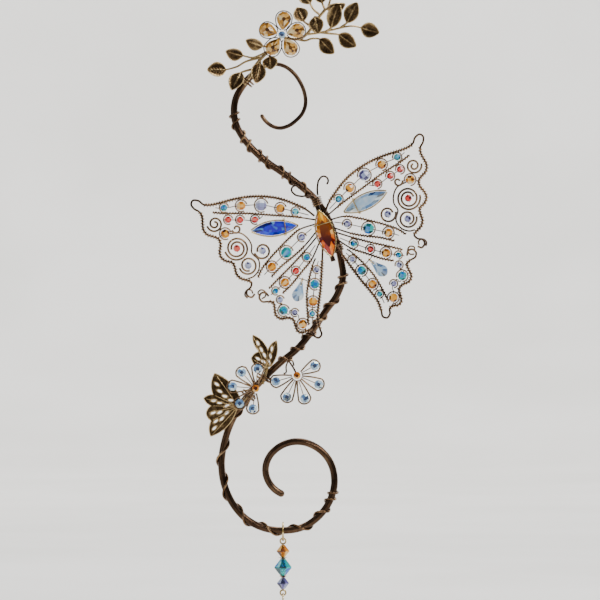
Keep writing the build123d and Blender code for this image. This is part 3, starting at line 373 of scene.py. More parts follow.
FINISHES: dict[Slot, AgedMetal | CutCrystal] = {
    # Drawn bronze wire, blackened and wiped: dark brown with a sharp warm line where the light runs along it;
    # the wires made here are lightened further by polish and a painted highlight
    Slot.BRONZE_WIRE: AgedMetal(
        "drawn bronze wire, blackened and wiped", ((0.30, "#261b14"), (0.54, "#4f3b2c"), (0.80, "#94775a")),
        (0.15, 0.26), 14.0, 0.6, 0.012, 0.35,
    ),
    # Softer bronze wire wound by hand, a lighter copy of the rod's bronze: the lighter colours are a painted
    # highlight on the proud turns
    Slot.WRAP_WIRE: AgedMetal(
        "soft bronze winding wire, wiped", ((0.30, "#35271b"), (0.52, "#6c523b"), (0.74, "#b99a72")),
        (0.16, 0.28), 8.0, 0.5, 0.012,
    ),
    # Stamped brass sheet, antiqued in a bath and tumbled: brown hollows, straw-bright rims from tumbling and
    # from a painted highlight
    Slot.ANTIQUE_BRASS: AgedMetal(
        "stamped sheet brass, antiqued and tumbled",
        ((0.30, "#221910"), (0.55, "#523f29"), (0.98, "#c8ab7a")),
        (0.20, 0.34), 4.0, 0.45, 0.025, 0.6,
    ),
    # Gilt brass wire, bright drawn: pale gold with sharp lines of light
    Slot.GILT_WIRE: AgedMetal(
        "gilt brass wire, bright drawn", ((0.30, "#7d683e"), (0.52, "#bfa56c"), (0.72, "#eddcae")),
        (0.14, 0.24), 3.0, 0.4, 0.015,
    ),
    # Cut glass beads with an iridescent coat: dark facets beside painted flashes of another hue and pale
    # painted glints
    Slot.TEAL: CutCrystal(
        "cut glass bead, teal with iridescent coat",
        ((0.20, "#013a44"), (0.38, "#008a90"), (0.55, "#00c4bc"), (0.70, "#0a62d0"), (0.84, "#9cf8ec")),
        transmission=0.1,
    ),
    Slot.AMBER: CutCrystal(
        "cut glass bead, amber topaz",
        ((0.20, "#4a2000"), (0.38, "#b05a00"), (0.56, "#f09408"), (0.72, "#ffb638"), (0.86, "#fff0c0")),
        transmission=0.1,
    ),
    Slot.VIOLET: CutCrystal(
        "cut glass bead, violet grey",
        ((0.20, "#25224c"), (0.40, "#5c5598"), (0.58, "#948cc8"), (0.72, "#aebbe0"), (0.86, "#f4f1fb")),
        transmission=0.15,
    ),
    Slot.ROSE: CutCrystal(
        "cut glass bead, rose", ((0.20, "#4a0004"), (0.40, "#b80410"), (0.60, "#f01a20"), (0.84, "#ff8c78")),
        transmission=0.1,
    ),
    Slot.CHAMPAGNE: CutCrystal(
        "cut glass bead, champagne",
        ((0.20, "#4a2c0a"), (0.40, "#a8701c"), (0.60, "#dca03e"), (0.84, "#ffe6ac")), transmission=0.15,
    ),
    # Foil behind the stone throws the light back, so it glows from amber at the top to red below
    Slot.FIRE: CutCrystal(
        "cut glass stone, fire opal with foil back",
        ((0.20, "#7a3a00"), (0.42, "#d87c00"), (0.62, "#ffb810"), (0.85, "#ffec90")),
        low_stops=((0.20, "#4a0600"), (0.42, "#a81800"), (0.62, "#e83c00"), (0.85, "#ff8a08")),
        span_mm=(-73.0, -67.0), transmission=0.05,
    ),
    Slot.BLUE: CutCrystal(
        "cut glass stone, sapphire with iridescent coat",
        ((0.20, "#01052c"), (0.42, "#0416a0"), (0.58, "#0044f0"), (0.72, "#3416b8"), (0.86, "#70e4ff")),
        transmission=0.05,
    ),
    # Clear glass with a faint cold coat: ice blue all over, with painted white glints, so that it shows on
    # paper
    Slot.CLEAR: CutCrystal(
        "cut glass, clear with cold coat",
        ((0.20, "#243c66"), (0.36, "#5c8cc8"), (0.54, "#8cb8e6"), (0.72, "#b4d6f4"), (0.86, "#f2f9ff")),
        transmission=0.08, film_nm=250.0,
    ),
}


def smooth_line(points: list[Vector], steps: int) -> list[Vector]:
    """Runs a smooth line through points.

    Args:
        points: The points, at least two.
        steps: Steps from each point to the next.

    Returns:
        The points of the line.
    """
    padded = [2 * points[0] - points[1], *points, 2 * points[-1] - points[-2]]
    line = []
    for before, start, end, after in zip(padded, padded[1:], padded[2:], padded[3:]):
        for step in range(steps):
            t = step / steps
            bend = (2 * before - 5 * start + 4 * end - after) * t**2
            bend += (3 * start - before - 3 * end + after) * t**3
            line.append((2 * start + (end - before) * t + bend) / 2)
    line.append(points[-1])
    return line


def add_tube(
    mesh: bmesh.types.BMesh, line: list[Vector], radius_at: Callable[[float, float], float], sides: int,
    rub: float,
) -> None:
    """Adds a closed tube along a line.

    Args:
        mesh: The mesh to add to.
        line: Points of the tube's middle line.
        radius_at: Radius by the length along the tube and the angle round it.
        sides: Corners of its section.
        rub: How much it is lightened, by polish and by a painted highlight.
    """
    polish_and_highlight_values = mesh.verts.layers.float.get(POLISH_AND_HIGHLIGHT_ATTRIBUTE) or mesh.verts.layers.float.new(POLISH_AND_HIGHLIGHT_ATTRIBUTE)
    tangents = [(b - a).normalized() for a, b in zip([line[0], *line], [*line[1:], line[-1]])]
    side = tangents[0].cross(FRONT)
    if side.length < 1e-6:
        side = Vector((1.0, 0.0, 0.0))
    along = 0.0
    rings = []
    for place, (point, tangent) in enumerate(zip(line, tangents)):
        along += (point - line[place - 1]).length if place else 0.0
        side = (side - tangent * side.dot(tangent)).normalized()
        up = tangent.cross(side)
        ring = []
        for corner in range(sides):
            angle = 2 * math.pi * corner / sides
            radius = radius_at(along, angle)
            vert = mesh.verts.new(point + (side * math.cos(angle) + up * math.sin(angle)) * radius)
            vert[polish_and_highlight_values] = rub
            ring.append(vert)
        rings.append(ring)
    for low, high in zip(rings, rings[1:]):
        for corner in range(sides):
            following = (corner + 1) % sides
            mesh.faces.new((low[corner], low[following], high[following], high[corner]))
    mesh.faces.new(list(reversed(rings[0])))
    mesh.faces.new(rings[-1])


def add_wire(mesh: bmesh.types.BMesh, line: list[Vector], wire_mm: float, sides: int, rub: float) -> None:
    """Adds a wire of one thickness along a line.

    Args:
        mesh: The mesh to add to.
        line: Points of the wire's middle line.
        wire_mm: Its thickness.
        sides: Corners of its section.
        rub: How much it is lightened, by polish and by a painted highlight.
    """
    add_tube(mesh, line, lambda along, angle: wire_mm * MM / 2, sides, rub)


@dataclass
class Piece:
    """A piece that is made anew in place of a node, or added as trim, and rides on the fixed part.

    Attributes:
        name: Name of the piece.
        node: The node that it stands for, or none for added trim.
        slot: The slot whose finish it takes.
        faceted: Whether its faces stay flat, as those of cut glass do.
    """

    name: str
    node: str | None
    slot: ClassVar[Slot] = Slot.BRONZE_WIRE
    faceted: ClassVar[bool] = False

    def shape(self, mesh: bmesh.types.BMesh) -> None:
        """Adds the piece's own shape, in metres in the frame.

        Args:
            mesh: The mesh to add to.
        """
        raise NotImplementedError

    def build(self, materials: dict[Slot, bpy.types.Material]) -> bpy.types.Object:
        """Makes and dresses the piece.

        Args:
            materials: The finished materials.

        Returns:
            The piece.
        """
        mesh = bmesh.new()
        self.shape(mesh)
        bmesh.ops.recalc_face_normals(mesh, faces=mesh.faces)
        data = bpy.data.meshes.new(self.name)
        mesh.to_mesh(data)
        mesh.free()
        if not self.faceted:
            data.shade_smooth()
        data.materials.append(materials[self.slot])
        piece = bpy.data.objects.new(self.name, data)
        bpy.context.scene.collection.objects.link(piece)
        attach(piece, ROOT)
        if self.node:
            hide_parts(self.node)
        LOG.info("%s: %d faces", self.name, len(data.polygons))
        return piece


@dataclass
class LeafSprig(Piece):
    """A stamped brass sprig: a forked stem whose branches run on as the ribs of cupped leaves.

    Attributes:
        main_px: Route of the main stem.
        branches: Route, reach of the leaf's tip to the front in pixels, and roll in degrees.
        stem_mm: Thickness of the main stem.
        branch_mm: Thickness of a branch.
        branch_taper: Shares of that thickness: at the branch's start, and lost by its end.
        depth_mm: How far the stem's middle stands in front of the scroll's plane.
        width_px: Width of a leaf.
        belly: Where a leaf is widest: in the middle at 1, nearer the foot below it.
        fullness: How slowly its width grows from the ends, the less the fuller.
        cup_mm: How far a leaf's sides stand up from its rib.
        cup_end: Share of the length at each end over which the cup gets no shallower.
        sheet_mm: Thickness of the brass.
        rim_mm: Thickness of the rolled rim.
        rib_mm: Height of the rib.
        rib_share: Half the rib's width, as a share of half the leaf's.
        vein_mm: Height of the side veins.
        vein_count: Side veins in a leaf's length.
        vein_slant: How many veins' spacing a vein climbs on its way to the rim.
        rib_polish_and_highlight: How much the rib is lightened, by polish and by a painted highlight.
        rim_polish_and_highlight: How much the blade is lightened at its rim, by polish and by a painted
            highlight.
        end_share: Share of the length left off at foot and tip, where the blade has no width.
        run_share: Share of the leaf's length that its branch runs on under it.
        rows: Steps of the blade's mesh along the rib.
        columns: Steps across it.
    """

    main_px: Route
    branches: tuple[tuple[Route, float, float], ...]
    stem_mm: float = 1.3
    branch_mm: float = 1.0
    branch_taper: tuple[float, float] = (1.1, 0.4)
    depth_mm: float = 2.2
    width_px: float = 14.8
    belly: float = 0.9
    fullness: float = 0.78
    cup_mm: float = 0.9
    cup_end: float = 0.05
    sheet_mm: float = 0.36
    rim_mm: float = 0.44
    rib_mm: float = 0.34
    rib_share: float = 0.11
    vein_mm: float = 0.16
    vein_count: float = 6.5
    vein_slant: float = 1.6
    rib_polish_and_highlight: float = 0.75
    rim_polish_and_highlight: float = 0.8
    end_share: float = 0.012
    run_share: float = 0.3
    rows: int = 36
    columns: int = 20
    slot: ClassVar[Slot] = Slot.ANTIQUE_BRASS

    def half_width(self, share: float) -> float:
        """Gives half the width of a leaf in metres at a share of its length."""
        swell = math.sin(math.pi * share**self.belly) ** self.fullness
        return self.width_px * MM_PER_PX * MM / 2 * swell

    def relief(self, share: float, aside: float) -> float:
        """Gives the height of the blade's front above its flat middle.

        Args:
            share: Share of the leaf's length from its foot.
            aside: Share of its half width, from -1 to 1.

        Returns:
            The height of cup, rib and veins together, in metres.
        """
        inner = min(max(share, self.cup_end), 1 - self.cup_end)
        cup = self.cup_mm * aside**2 * math.sin(math.pi * inner)
        rib = self.rib_mm * math.exp(-((aside / self.rib_share) ** 2)) * (1 - share**3)
        slant = share * self.vein_count - abs(aside) * self.vein_slant
        vein = self.vein_mm * max(0.0, math.cos(2 * math.pi * slant)) ** 4 * (1 - aside**4)
        return (cup + rib + vein) * MM

    def rubbed(self, share: float, aside: float) -> float:
        """Gives how much the blade is lightened by polish and a painted highlight, the most on the rib and
        towards the rim.
        """
        rib = math.exp(-((aside / 0.12) ** 2)) * (1 - share**2)
        return min(1.0, self.rib_polish_and_highlight * rib + self.rim_polish_and_highlight * abs(aside) ** 6)

    def add_leaf(self, mesh: bmesh.types.BMesh, foot: Vector, tip: Vector, roll: float) -> None:
        """Adds one cupped leaf with its rolled rim.

        Args:
            mesh: The mesh to add to.
            foot: Where the blade starts on its branch.
            tip: The blade's tip.
            roll: Turn about the rib in degrees.
        """
        polish_and_highlight_values = mesh.verts.layers.float.get(POLISH_AND_HIGHLIGHT_ATTRIBUTE)
        rib = (tip - foot).normalized()
        length = (tip - foot).length
        facing = Matrix.Rotation(math.radians(roll), 3, rib) @ FRONT
        facing = (facing - rib * facing.dot(rib)).normalized()
        across = rib.cross(facing)
        front: list[list[bmesh.types.BMVert]] = []
        back: list[list[bmesh.types.BMVert]] = []
        rims: tuple[list[Vector], list[Vector]] = ([], [])
        for row in range(self.rows + 1):
            share = self.end_share + (1 - 2 * self.end_share) * row / self.rows
            half = self.half_width(share)
            front.append([])
            back.append([])
            for column in range(self.columns + 1):
                aside = 2 * column / self.columns - 1
                height = self.relief(share, aside)
                middle = foot + rib * (share * length) + across * (aside * half) + facing * height
                for verts, step in ((front[row], 0.5), (back[row], -0.5)):
                    vert = mesh.verts.new(middle + facing * (step * self.sheet_mm * MM))
                    # Lighter on the rib and towards the rim: polish and a painted highlight
                    vert[polish_and_highlight_values] = self.rubbed(share, aside)
                    verts.append(vert)
                if column in (0, self.columns):
                    rims[bool(column)].append(middle)
        for sheet in (front, back):
            for low, high in zip(sheet, sheet[1:]):
                for left in range(self.columns):
                    mesh.faces.new((low[left], low[left + 1], high[left + 1], high[left]))
        loop = [(row, 0) for row in range(self.rows)]
        loop += [(self.rows, column) for column in range(self.columns)]
        loop += [(row, self.columns) for row in range(self.rows, 0, -1)]
        loop += [(0, column) for column in range(self.columns, 0, -1)]
        for (row, column), (next_row, next_column) in zip(loop, loop[1:] + loop[:1]):
            mesh.faces.new((front[row][column], front[next_row][next_column],
                            back[next_row][next_column], back[row][column]))
        add_wire(mesh, [*rims[0], *reversed(rims[1])], self.rim_mm, sides=8, rub=1.0)

    def shape(self, mesh: bmesh.types.BMesh) -> None:
        """Adds the stem, the branches and the leaves.

        Args:
            mesh: The mesh to add to.
        """
        stem = smooth_line([at(px, self.depth_mm) for px in self.main_px], steps=12)
        add_wire(mesh, stem, self.stem_mm, sides=12, rub=0.5)
        half = self.branch_mm * MM / 2
        thick, loss = self.branch_taper
        for route, reach, roll in self.branches:
            stalk = [at(px, self.depth_mm) for px in route[:-1]]
            tip = at(route[-1], self.depth_mm + reach * MM_PER_PX)
            rib_start = stalk[-1] + (tip - stalk[-1]) * self.run_share
            line = smooth_line([*stalk, rib_start], steps=10)
            span = sum((b - a).length for a, b in zip(line, line[1:]))
            add_tube(
                mesh, line, lambda along, angle: half * (thick - loss * along / span), sides=10, rub=0.55,
            )
            self.add_leaf(mesh, stalk[-1], tip, roll)


# The kind of filling that keeps only what lies inside the outline, and how near points count as one
FILL_INSIDE = 1
FILL_MERGE_M = 1e-7


def in_plane(px: Px) -> Vector:
    """Turns a place in the photograph into a point of the scroll's plane, x to the right and y up."""
    point = at(px)
    return Vector((point.x, point.z))


@dataclass
class FiligreeLeaf(Piece):
    """A lobed leaf of pierced and stamped brass, domed, with a rim, veins and a tang.

    Attributes:
        outline_px: Corners between its lobes and their tips, from one side of the foot to the other.
        tang_px: Start and end of the tang.
        holes_px: Middles of the pierced holes.
        depth_mm: How far its rim stands in front of the scroll's plane.
        sheet_mm: Thickness of the brass.
        dome_mm: How far the middle stands out.
        hole_mm: Length of a hole, which points to the foot, and its width.
        hole_sides: Corners of a hole's edge.
        hole_polish_and_highlight: How far from a hole the brass is still lightened by polish and a painted
            highlight, as a share of the hole's own reach.
        rim_mm: Thickness of the raised rim; the collars of the holes have half of it.
        vein_taper: Shares of the rim's thickness: at a vein's start, and lost by its tip.
        vein_shares: Places of a vein's points on its way from the foot to a corner.
        tang_mm: Width of the tang.
        tang_shares: Places of the tang's points on its way.
        tang_flat: Thickness of the tang as a share of its width.
        bulge: Swell of a lobe's side as a share of its chord.
        mesh_mm: Spacing of the plate's points.
        least_share: Least room round such a point, as a share of that spacing.
    """

    outline_px: Route
    tang_px: tuple[Px, Px]
    holes_px: Route
    depth_mm: float = 3.0
    sheet_mm: float = 0.4
    dome_mm: float = 0.7
    hole_mm: tuple[float, float] = (2.2, 1.05)
    hole_sides: int = 16
    hole_polish_and_highlight: float = 0.5
    rim_mm: float = 0.42
    vein_taper: tuple[float, float] = (1.1, 0.6)
    vein_shares: tuple[float, ...] = (0.0, 0.25, 0.5, 0.75, 0.94)
    tang_mm: float = 1.4
    tang_shares: tuple[float, ...] = (0.0, 0.3, 0.6, 0.9, 1.0)
    tang_flat: float = 0.55
    bulge: float = 0.12
    mesh_mm: float = 0.34
    least_share: float = 0.55
    slot: ClassVar[Slot] = Slot.ANTIQUE_BRASS

    @cached_property
    def corners(self) -> list[Vector]:
        """The outline's corners in the leaf's plane."""
        return [in_plane(px) for px in self.outline_px]

    @cached_property
    def outline(self) -> list[Vector]:
        """Samples the lobed outline.

        Returns:
            Points of the leaf's plane in metres.
        """
        points: list[Vector] = []
        for start, end in zip(self.corners, self.corners[1:]):
            chord = end - start
            swell = Vector((chord.y, -chord.x)) * self.bulge
            steps = max(4, round(chord.length / (self.mesh_mm * MM)))
            for step in range(steps):
                t = step / steps
                points.append(start + chord * t + swell * (4 * t * (1 - t)))
        foot = self.corners[0] - self.corners[-1]
        steps = max(4, round(foot.length / (self.mesh_mm * MM)))
        points += [self.corners[-1] + foot * (step / steps) for step in range(steps)]
        return points

    @cached_property
    def dome(self) -> tuple[Vector, float]:
        """The dome's middle in the leaf's plane, and its reach in metres."""
        middle = sum(self.outline, Vector((0.0, 0.0))) / len(self.outline)
        return middle, max((point - middle).length for point in self.outline)

    @cached_property
    def holes(self) -> list[tuple[Vector, Vector]]:
        """Places the holes.

        Returns:
            Each hole's middle in the leaf's plane, and its way from the foot's first corner.
        """
        heel = (self.outline[0] + self.outline[-1]) / 2
        middles = [in_plane(px) for px in self.holes_px]
        return [(middle, (middle - heel).normalized()) for middle in middles]

    def hole_rings(self) -> list[list[Vector]]:
        """Samples the holes' edges.

        Returns:
            Points of each edge in the leaf's plane.
        """
        half_length, half_width = (size * MM / 2 for size in self.hole_mm)
        turns = [2 * math.pi * step / self.hole_sides for step in range(self.hole_sides)]
        rings = []
        for hole, ray in self.holes:
            across = Vector((-ray.y, ray.x))
            rings.append([
                hole + ray * (half_length * math.cos(turn)) + across * (half_width * math.sin(turn))
                for turn in turns
            ])
        return rings

    def clear_of_holes(self, point: Vector) -> float:
        """Measures how far a point lies from the nearest hole.

        Args:
            point: A point of the leaf's plane.

        Returns:
            Its distance from the hole's middle, as a share of the hole's own reach that way.
        """
        half_length, half_width = (size * MM / 2 for size in self.hole_mm)
        shares = []
        for hole, ray in self.holes:
            offset = point - hole
            aside = offset.x * -ray.y + offset.y * ray.x
            shares.append(math.hypot(offset.dot(ray) / half_length, aside / half_width))
        return min(shares)

    def lift(self, point: Vector, step_mm: float) -> Vector:
        """Sets a point of the leaf's plane on its domed sheet.

        Args:
            point: The point.
            step_mm: How far it stands in front of the sheet's middle.

        Returns:
            The point of the frame.
        """
        middle, reach = self.dome
        share = min(1.0, (point - middle).length / reach)
        depth = self.depth_mm * MM + self.dome_mm * MM * (1 - share**2) + step_mm * MM
        return Vector((point.x, -depth, point.y))

    def plate(self, rings: list[list[Vector]]) -> tuple[list[Vector], list[list[int]]]:
        """Fills the outline with small faces and leaves the holes open.

        Args:
            rings: The holes' edges.

        Returns:
            Points of the leaf's plane, and the faces by the points' numbers.
        """
        points: list[Vector] = []
        edges: list[tuple[int, int]] = []
        for ring in (self.outline, *rings):
            start = len(points)
            points += ring
            edges += [(start + i, start + (i + 1) % len(ring)) for i in range(len(ring))]
        spacing = self.mesh_mm * MM
        low = Vector((min(p.x for p in self.outline), min(p.y for p in self.outline)))
        high = Vector((max(p.x for p in self.outline), max(p.y for p in self.outline)))
        fixed = list(points)
        for row in range(int((high.y - low.y) / spacing) + 1):
            for column in range(int((high.x - low.x) / spacing) + 1):
                point = low + Vector(((column + 0.5 * (row % 2)) * spacing, row * spacing))
                apart = min((point - other).length for other in fixed)
                if apart > self.least_share * spacing and self.clear_of_holes(point) > 1:
                    points.append(point)
        flat, _, triangles, _, _, _ = geometry.delaunay_2d_cdt(points, edges, [], FILL_INSIDE, FILL_MERGE_M)
        centres = [sum((flat[i] for i in face), Vector((0.0, 0.0))) / len(face) for face in triangles]
        # A hole's edge is a chain of chords, so a face outside it may have its middle just inside the oval
        faces = [face for face, centre in zip(triangles, centres) if self.clear_of_holes(centre) > 0.96]
        return flat, faces

    def add_sheet(self, mesh: bmesh.types.BMesh, flat: list[Vector], faces: list[list[int]]) -> None:
        """Adds the pierced sheet with its front, back and edges.

        Args:
            mesh: The mesh to add to.
            flat: Points of the leaf's plane.
            faces: Faces by the points' numbers.
        """
        polish_and_highlight_values = mesh.verts.layers.float.new(POLISH_AND_HIGHLIGHT_ATTRIBUTE)
        front: list[bmesh.types.BMVert] = []
        back: list[bmesh.types.BMVert] = []
        for layer, step_mm in ((front, self.sheet_mm / 2), (back, -self.sheet_mm / 2)):
            for point in flat:
                vert = mesh.verts.new(self.lift(point, step_mm))
                # Lightest at each hole's edge: polish and a painted highlight round the openings
                vert[polish_and_highlight_values] = math.exp(-(((self.clear_of_holes(point) - 1) / self.hole_polish_and_highlight) ** 2))
                layer.append(vert)
        uses: dict[tuple[int, int], int] = {}
        for face in faces:
            mesh.faces.new([front[i] for i in face])
            mesh.faces.new([back[i] for i in reversed(face)])
            for a, b in zip(face, [*face[1:], face[0]]):
                key = (min(a, b), max(a, b))
                uses[key] = uses.get(key, 0) + 1
        for (a, b), count in uses.items():
            if count == 1:
                mesh.faces.new((front[a], front[b], back[b], back[a]))

    def add_trim(self, mesh: bmesh.types.BMesh, rings: list[list[Vector]]) -> None:
        """Adds the raised rim, the collars of the holes, the veins and the tang.

        Args:
            mesh: The mesh to add to.
            rings: The holes' edges.
        """
        step_mm = self.sheet_mm / 2
        rim = [self.lift(point, step_mm) for point in [*self.outline, self.outline[0]]]
        add_wire(mesh, rim, self.rim_mm, sides=8, rub=1.0)
        for ring in rings:
            collar = [self.lift(point, step_mm) for point in [*ring, ring[0]]]
            add_wire(mesh, collar, self.rim_mm / 2, sides=6, rub=0.75)
        foot = (self.corners[0] + self.corners[-1]) / 2
        half = self.rim_mm * MM / 2
        thick, loss = self.vein_taper
        for tip in self.corners[1:-1]:
            way = [foot.lerp(tip, share) for share in self.vein_shares]
            vein = smooth_line([self.lift(point, step_mm) for point in way], steps=5)
            length = (tip - foot).length
            add_tube(
                mesh, vein, lambda along, angle: half * (thick - loss * along / length), sides=8, rub=0.8,
            )
        start, end = (at(px, self.depth_mm) for px in self.tang_px)
        tang = [start.lerp(end, share) for share in self.tang_shares]
        wide = self.tang_mm * MM / 2
        add_tube(
            mesh, tang, lambda along, angle: wide * (1.0 if abs(math.sin(angle)) < 0.5 else self.tang_flat),
            sides=12, rub=0.4,
        )

    def shape(self, mesh: bmesh.types.BMesh) -> None:
        """Adds the sheet and its trim.

        Args:
            mesh: The mesh to add to.
        """
        rings = self.hole_rings()
        self.add_sheet(mesh, *self.plate(rings))
        self.add_trim(mesh, rings)


class Side(Enum):
    """The two sides of the butterfly, by the sign of their way outwards."""

    LEFT = -1
    RIGHT = 1

    @property
    def word(self) -> str:
        """The side as it is written in the names of nodes."""
        return self.name.lower()


@dataclass(frozen=True)
class Stance:
    """How the butterfly sits on the scroll, the same as in the solids.

    Attributes:
        middle_px: The butterfly's middle in the photograph.
        depth_mm: How far its spine stands in front of the scroll's plane.
        reach_mm: Reach of a forewing from the middle.
        reach_px: The same reach in pixels.
        lift_deg: How far each wing is lifted to the front.
        lean_deg: How far the whole butterfly leans in the photograph's plane.
    """

    middle_px: Px = (325.3, 234.0)
    depth_mm: float = 3.45
    reach_mm: float = 50.5
    reach_px: float = 119.0
    lift_deg: float = 12.0
    lean_deg: float = 16.3

    def turn(self, side: Side) -> Matrix:
        """Gives the turn from the butterfly's own axes to the frame.

        Args:
            side: The side of the butterfly.

        Returns:
            The lift, the mirror and the lean together.
        """
        lift = Matrix.Rotation(math.radians(-self.lift_deg), 3, "Z")
        mirror = Matrix.Diagonal((side.value, 1.0, 1.0))
        return Matrix.Rotation(math.radians(-self.lean_deg), 3, "Y") @ mirror @ lift

    def place(self, px: Px, side: Side, step_mm: float = 0.0) -> Vector:
        """Turns a place on a wing into a point of the frame.

        Args:
            px: Pixels outwards and downwards along the butterfly's own axes.
            side: The side of the butterfly.
            step_mm: How far the point stands in front of the wing.

        Returns:
            The point in metres.
        """
        scale = self.reach_mm / self.reach_px
        point = Vector((px[0] * scale, -step_mm, -px[1] * scale)) * MM
        return at(self.middle_px, self.depth_mm) + self.turn(side) @ point


STANCE = Stance()


class Track:
    """The middle line of a wire, which a finer wire is wound round.

    Attributes:
        line: Points of the line, which lies in a plane.
        normal: The plane's normal.
        lengths: How far along the line each point lies.
    """

    def __init__(self, line: list[Vector], normal: Vector) -> None:
        """Measures the line.

        Args:
            line: Points of the line.
            normal: Normal of the plane that it lies in.
        """
        self.line = line
        self.normal = normal
        self.lengths = [0.0]
        for start, end in zip(line, line[1:]):
            self.lengths.append(self.lengths[-1] + (end - start).length)

    def nearest(self, point: Vector) -> float:
        """Gives how far along the line its nearest point to a place lies."""
        return min(zip(self.lengths, self.line), key=lambda pair: (pair[1] - point).length)[0]

    def beside(self, along: float, turns: float, radius: float) -> Vector:
        """Gives a point of a winding.

        Args:
            along: How far along the line it lies.
            turns: Turns from the front.
            radius: Distance from the line.

        Returns:
            The point in metres.
        """
        place = min(bisect.bisect_right(self.lengths, along), len(self.line) - 1) - 1
        share = (along - self.lengths[place]) / (self.lengths[place + 1] - self.lengths[place])
        way = (self.line[place + 1] - self.line[place]).normalized()
        angle = 2 * math.pi * turns
        aside = self.normal * math.cos(angle) + way.cross(self.normal) * math.sin(angle)
        return self.line[place].lerp(self.line[place + 1], share) + aside * radius


Stretch = tuple[int, int]
Wound = tuple[tuple[Stretch, ...], ...]


@dataclass
class BoundWires(Piece):
    """Wires of a wing, each a stouter wire with a finer one wound round parts of it.

    Attributes:
        side: The side of the butterfly.
        routes: Points of each wire along the butterfly's own axes, outwards and downwards.
        wound: First and last point of each wound stretch, wire by wire.
        core_mm: Thickness of the stouter wire.
        winding_mm: Thickness of the finer wire.
        pitch_mm: Distance between turns, drawn about twice the real one so that the turns still show.
        smooth_steps: Points from one point of a route to the next.
        turn_steps: Points in a turn of the winding.
    """

    side: Side
    routes: tuple[Route, ...]
    wound: Wound
    core_mm: float
    winding_mm: float
    pitch_mm: float = 1.2
    smooth_steps: int = 8
    turn_steps: int = 9

    def shape(self, mesh: bmesh.types.BMesh) -> None:
        """Adds the wires and their windings.

        Args:
            mesh: The mesh to add to.
        """
        reach = self.core_mm * MM / 2 + self.winding_mm * MM / 2
        step_length = self.pitch_mm * MM / self.turn_steps
        normal = STANCE.turn(self.side) @ FRONT
        for route, stretches in zip(self.routes, self.wound):
            line = smooth_line([STANCE.place(px, self.side) for px in route], self.smooth_steps)
            # The core gets little of the polish and painted highlight, the windings much
            add_wire(mesh, line, self.core_mm, sides=10, rub=0.1)
            for first, last in stretches:
                track = Track(line[first * self.smooth_steps:last * self.smooth_steps + 1], normal)
                count = int(track.lengths[-1] / step_length)
                coil = [track.beside(i * step_length, i / self.turn_steps, reach) for i in range(count)]
                add_wire(mesh, coil, self.winding_mm, sides=6, rub=0.9)


@dataclass
class StemWrap(Piece):
    """Wire wound openly and tightly round the scroll, from the rod's back to its back.

    Attributes:
        crossings_px: Where it crosses the scroll's front.
        stem_px: Route of the scroll's thick rod.
        rod_mm: Thickness of the rod.
        wire_mm: Thickness of the wire.
        turn_steps: Points in a turn.
    """

    crossings_px: Route
    stem_px: Route
    rod_mm: float = 3.0
    wire_mm: float = 0.95
    turn_steps: int = 28
    slot: ClassVar[Slot] = Slot.WRAP_WIRE

    def shape(self, mesh: bmesh.types.BMesh) -> None:
        """Adds the winding.

        Args:
            mesh: The mesh to add to.
        """
        reach = self.rod_mm * MM / 2 + self.wire_mm * MM / 2
        track = Track(smooth_line([at(px) for px in self.stem_px], ROD_STEPS), FRONT)
        fronts = [track.nearest(at(px)) for px in self.crossings_px]
        stations = [(fronts[0] - (fronts[1] - fronts[0]) / 2, -0.5)]
        stations += [(along, turn) for turn, along in enumerate(fronts)]
        stations.append((fronts[-1] + (fronts[-1] - fronts[-2]) / 2, len(fronts) - 0.5))
        coil = []
        for (start, start_turn), (end, end_turn) in zip(stations, stations[1:]):
            steps = round(self.turn_steps * (end_turn - start_turn))
            for step in range(steps):
                along = start + (end - start) * step / steps
                turns = start_turn + (end_turn - start_turn) * step / steps
                coil.append(track.beside(along, turns, reach))
        add_wire(mesh, coil, self.wire_mm, sides=12, rub=0.5)


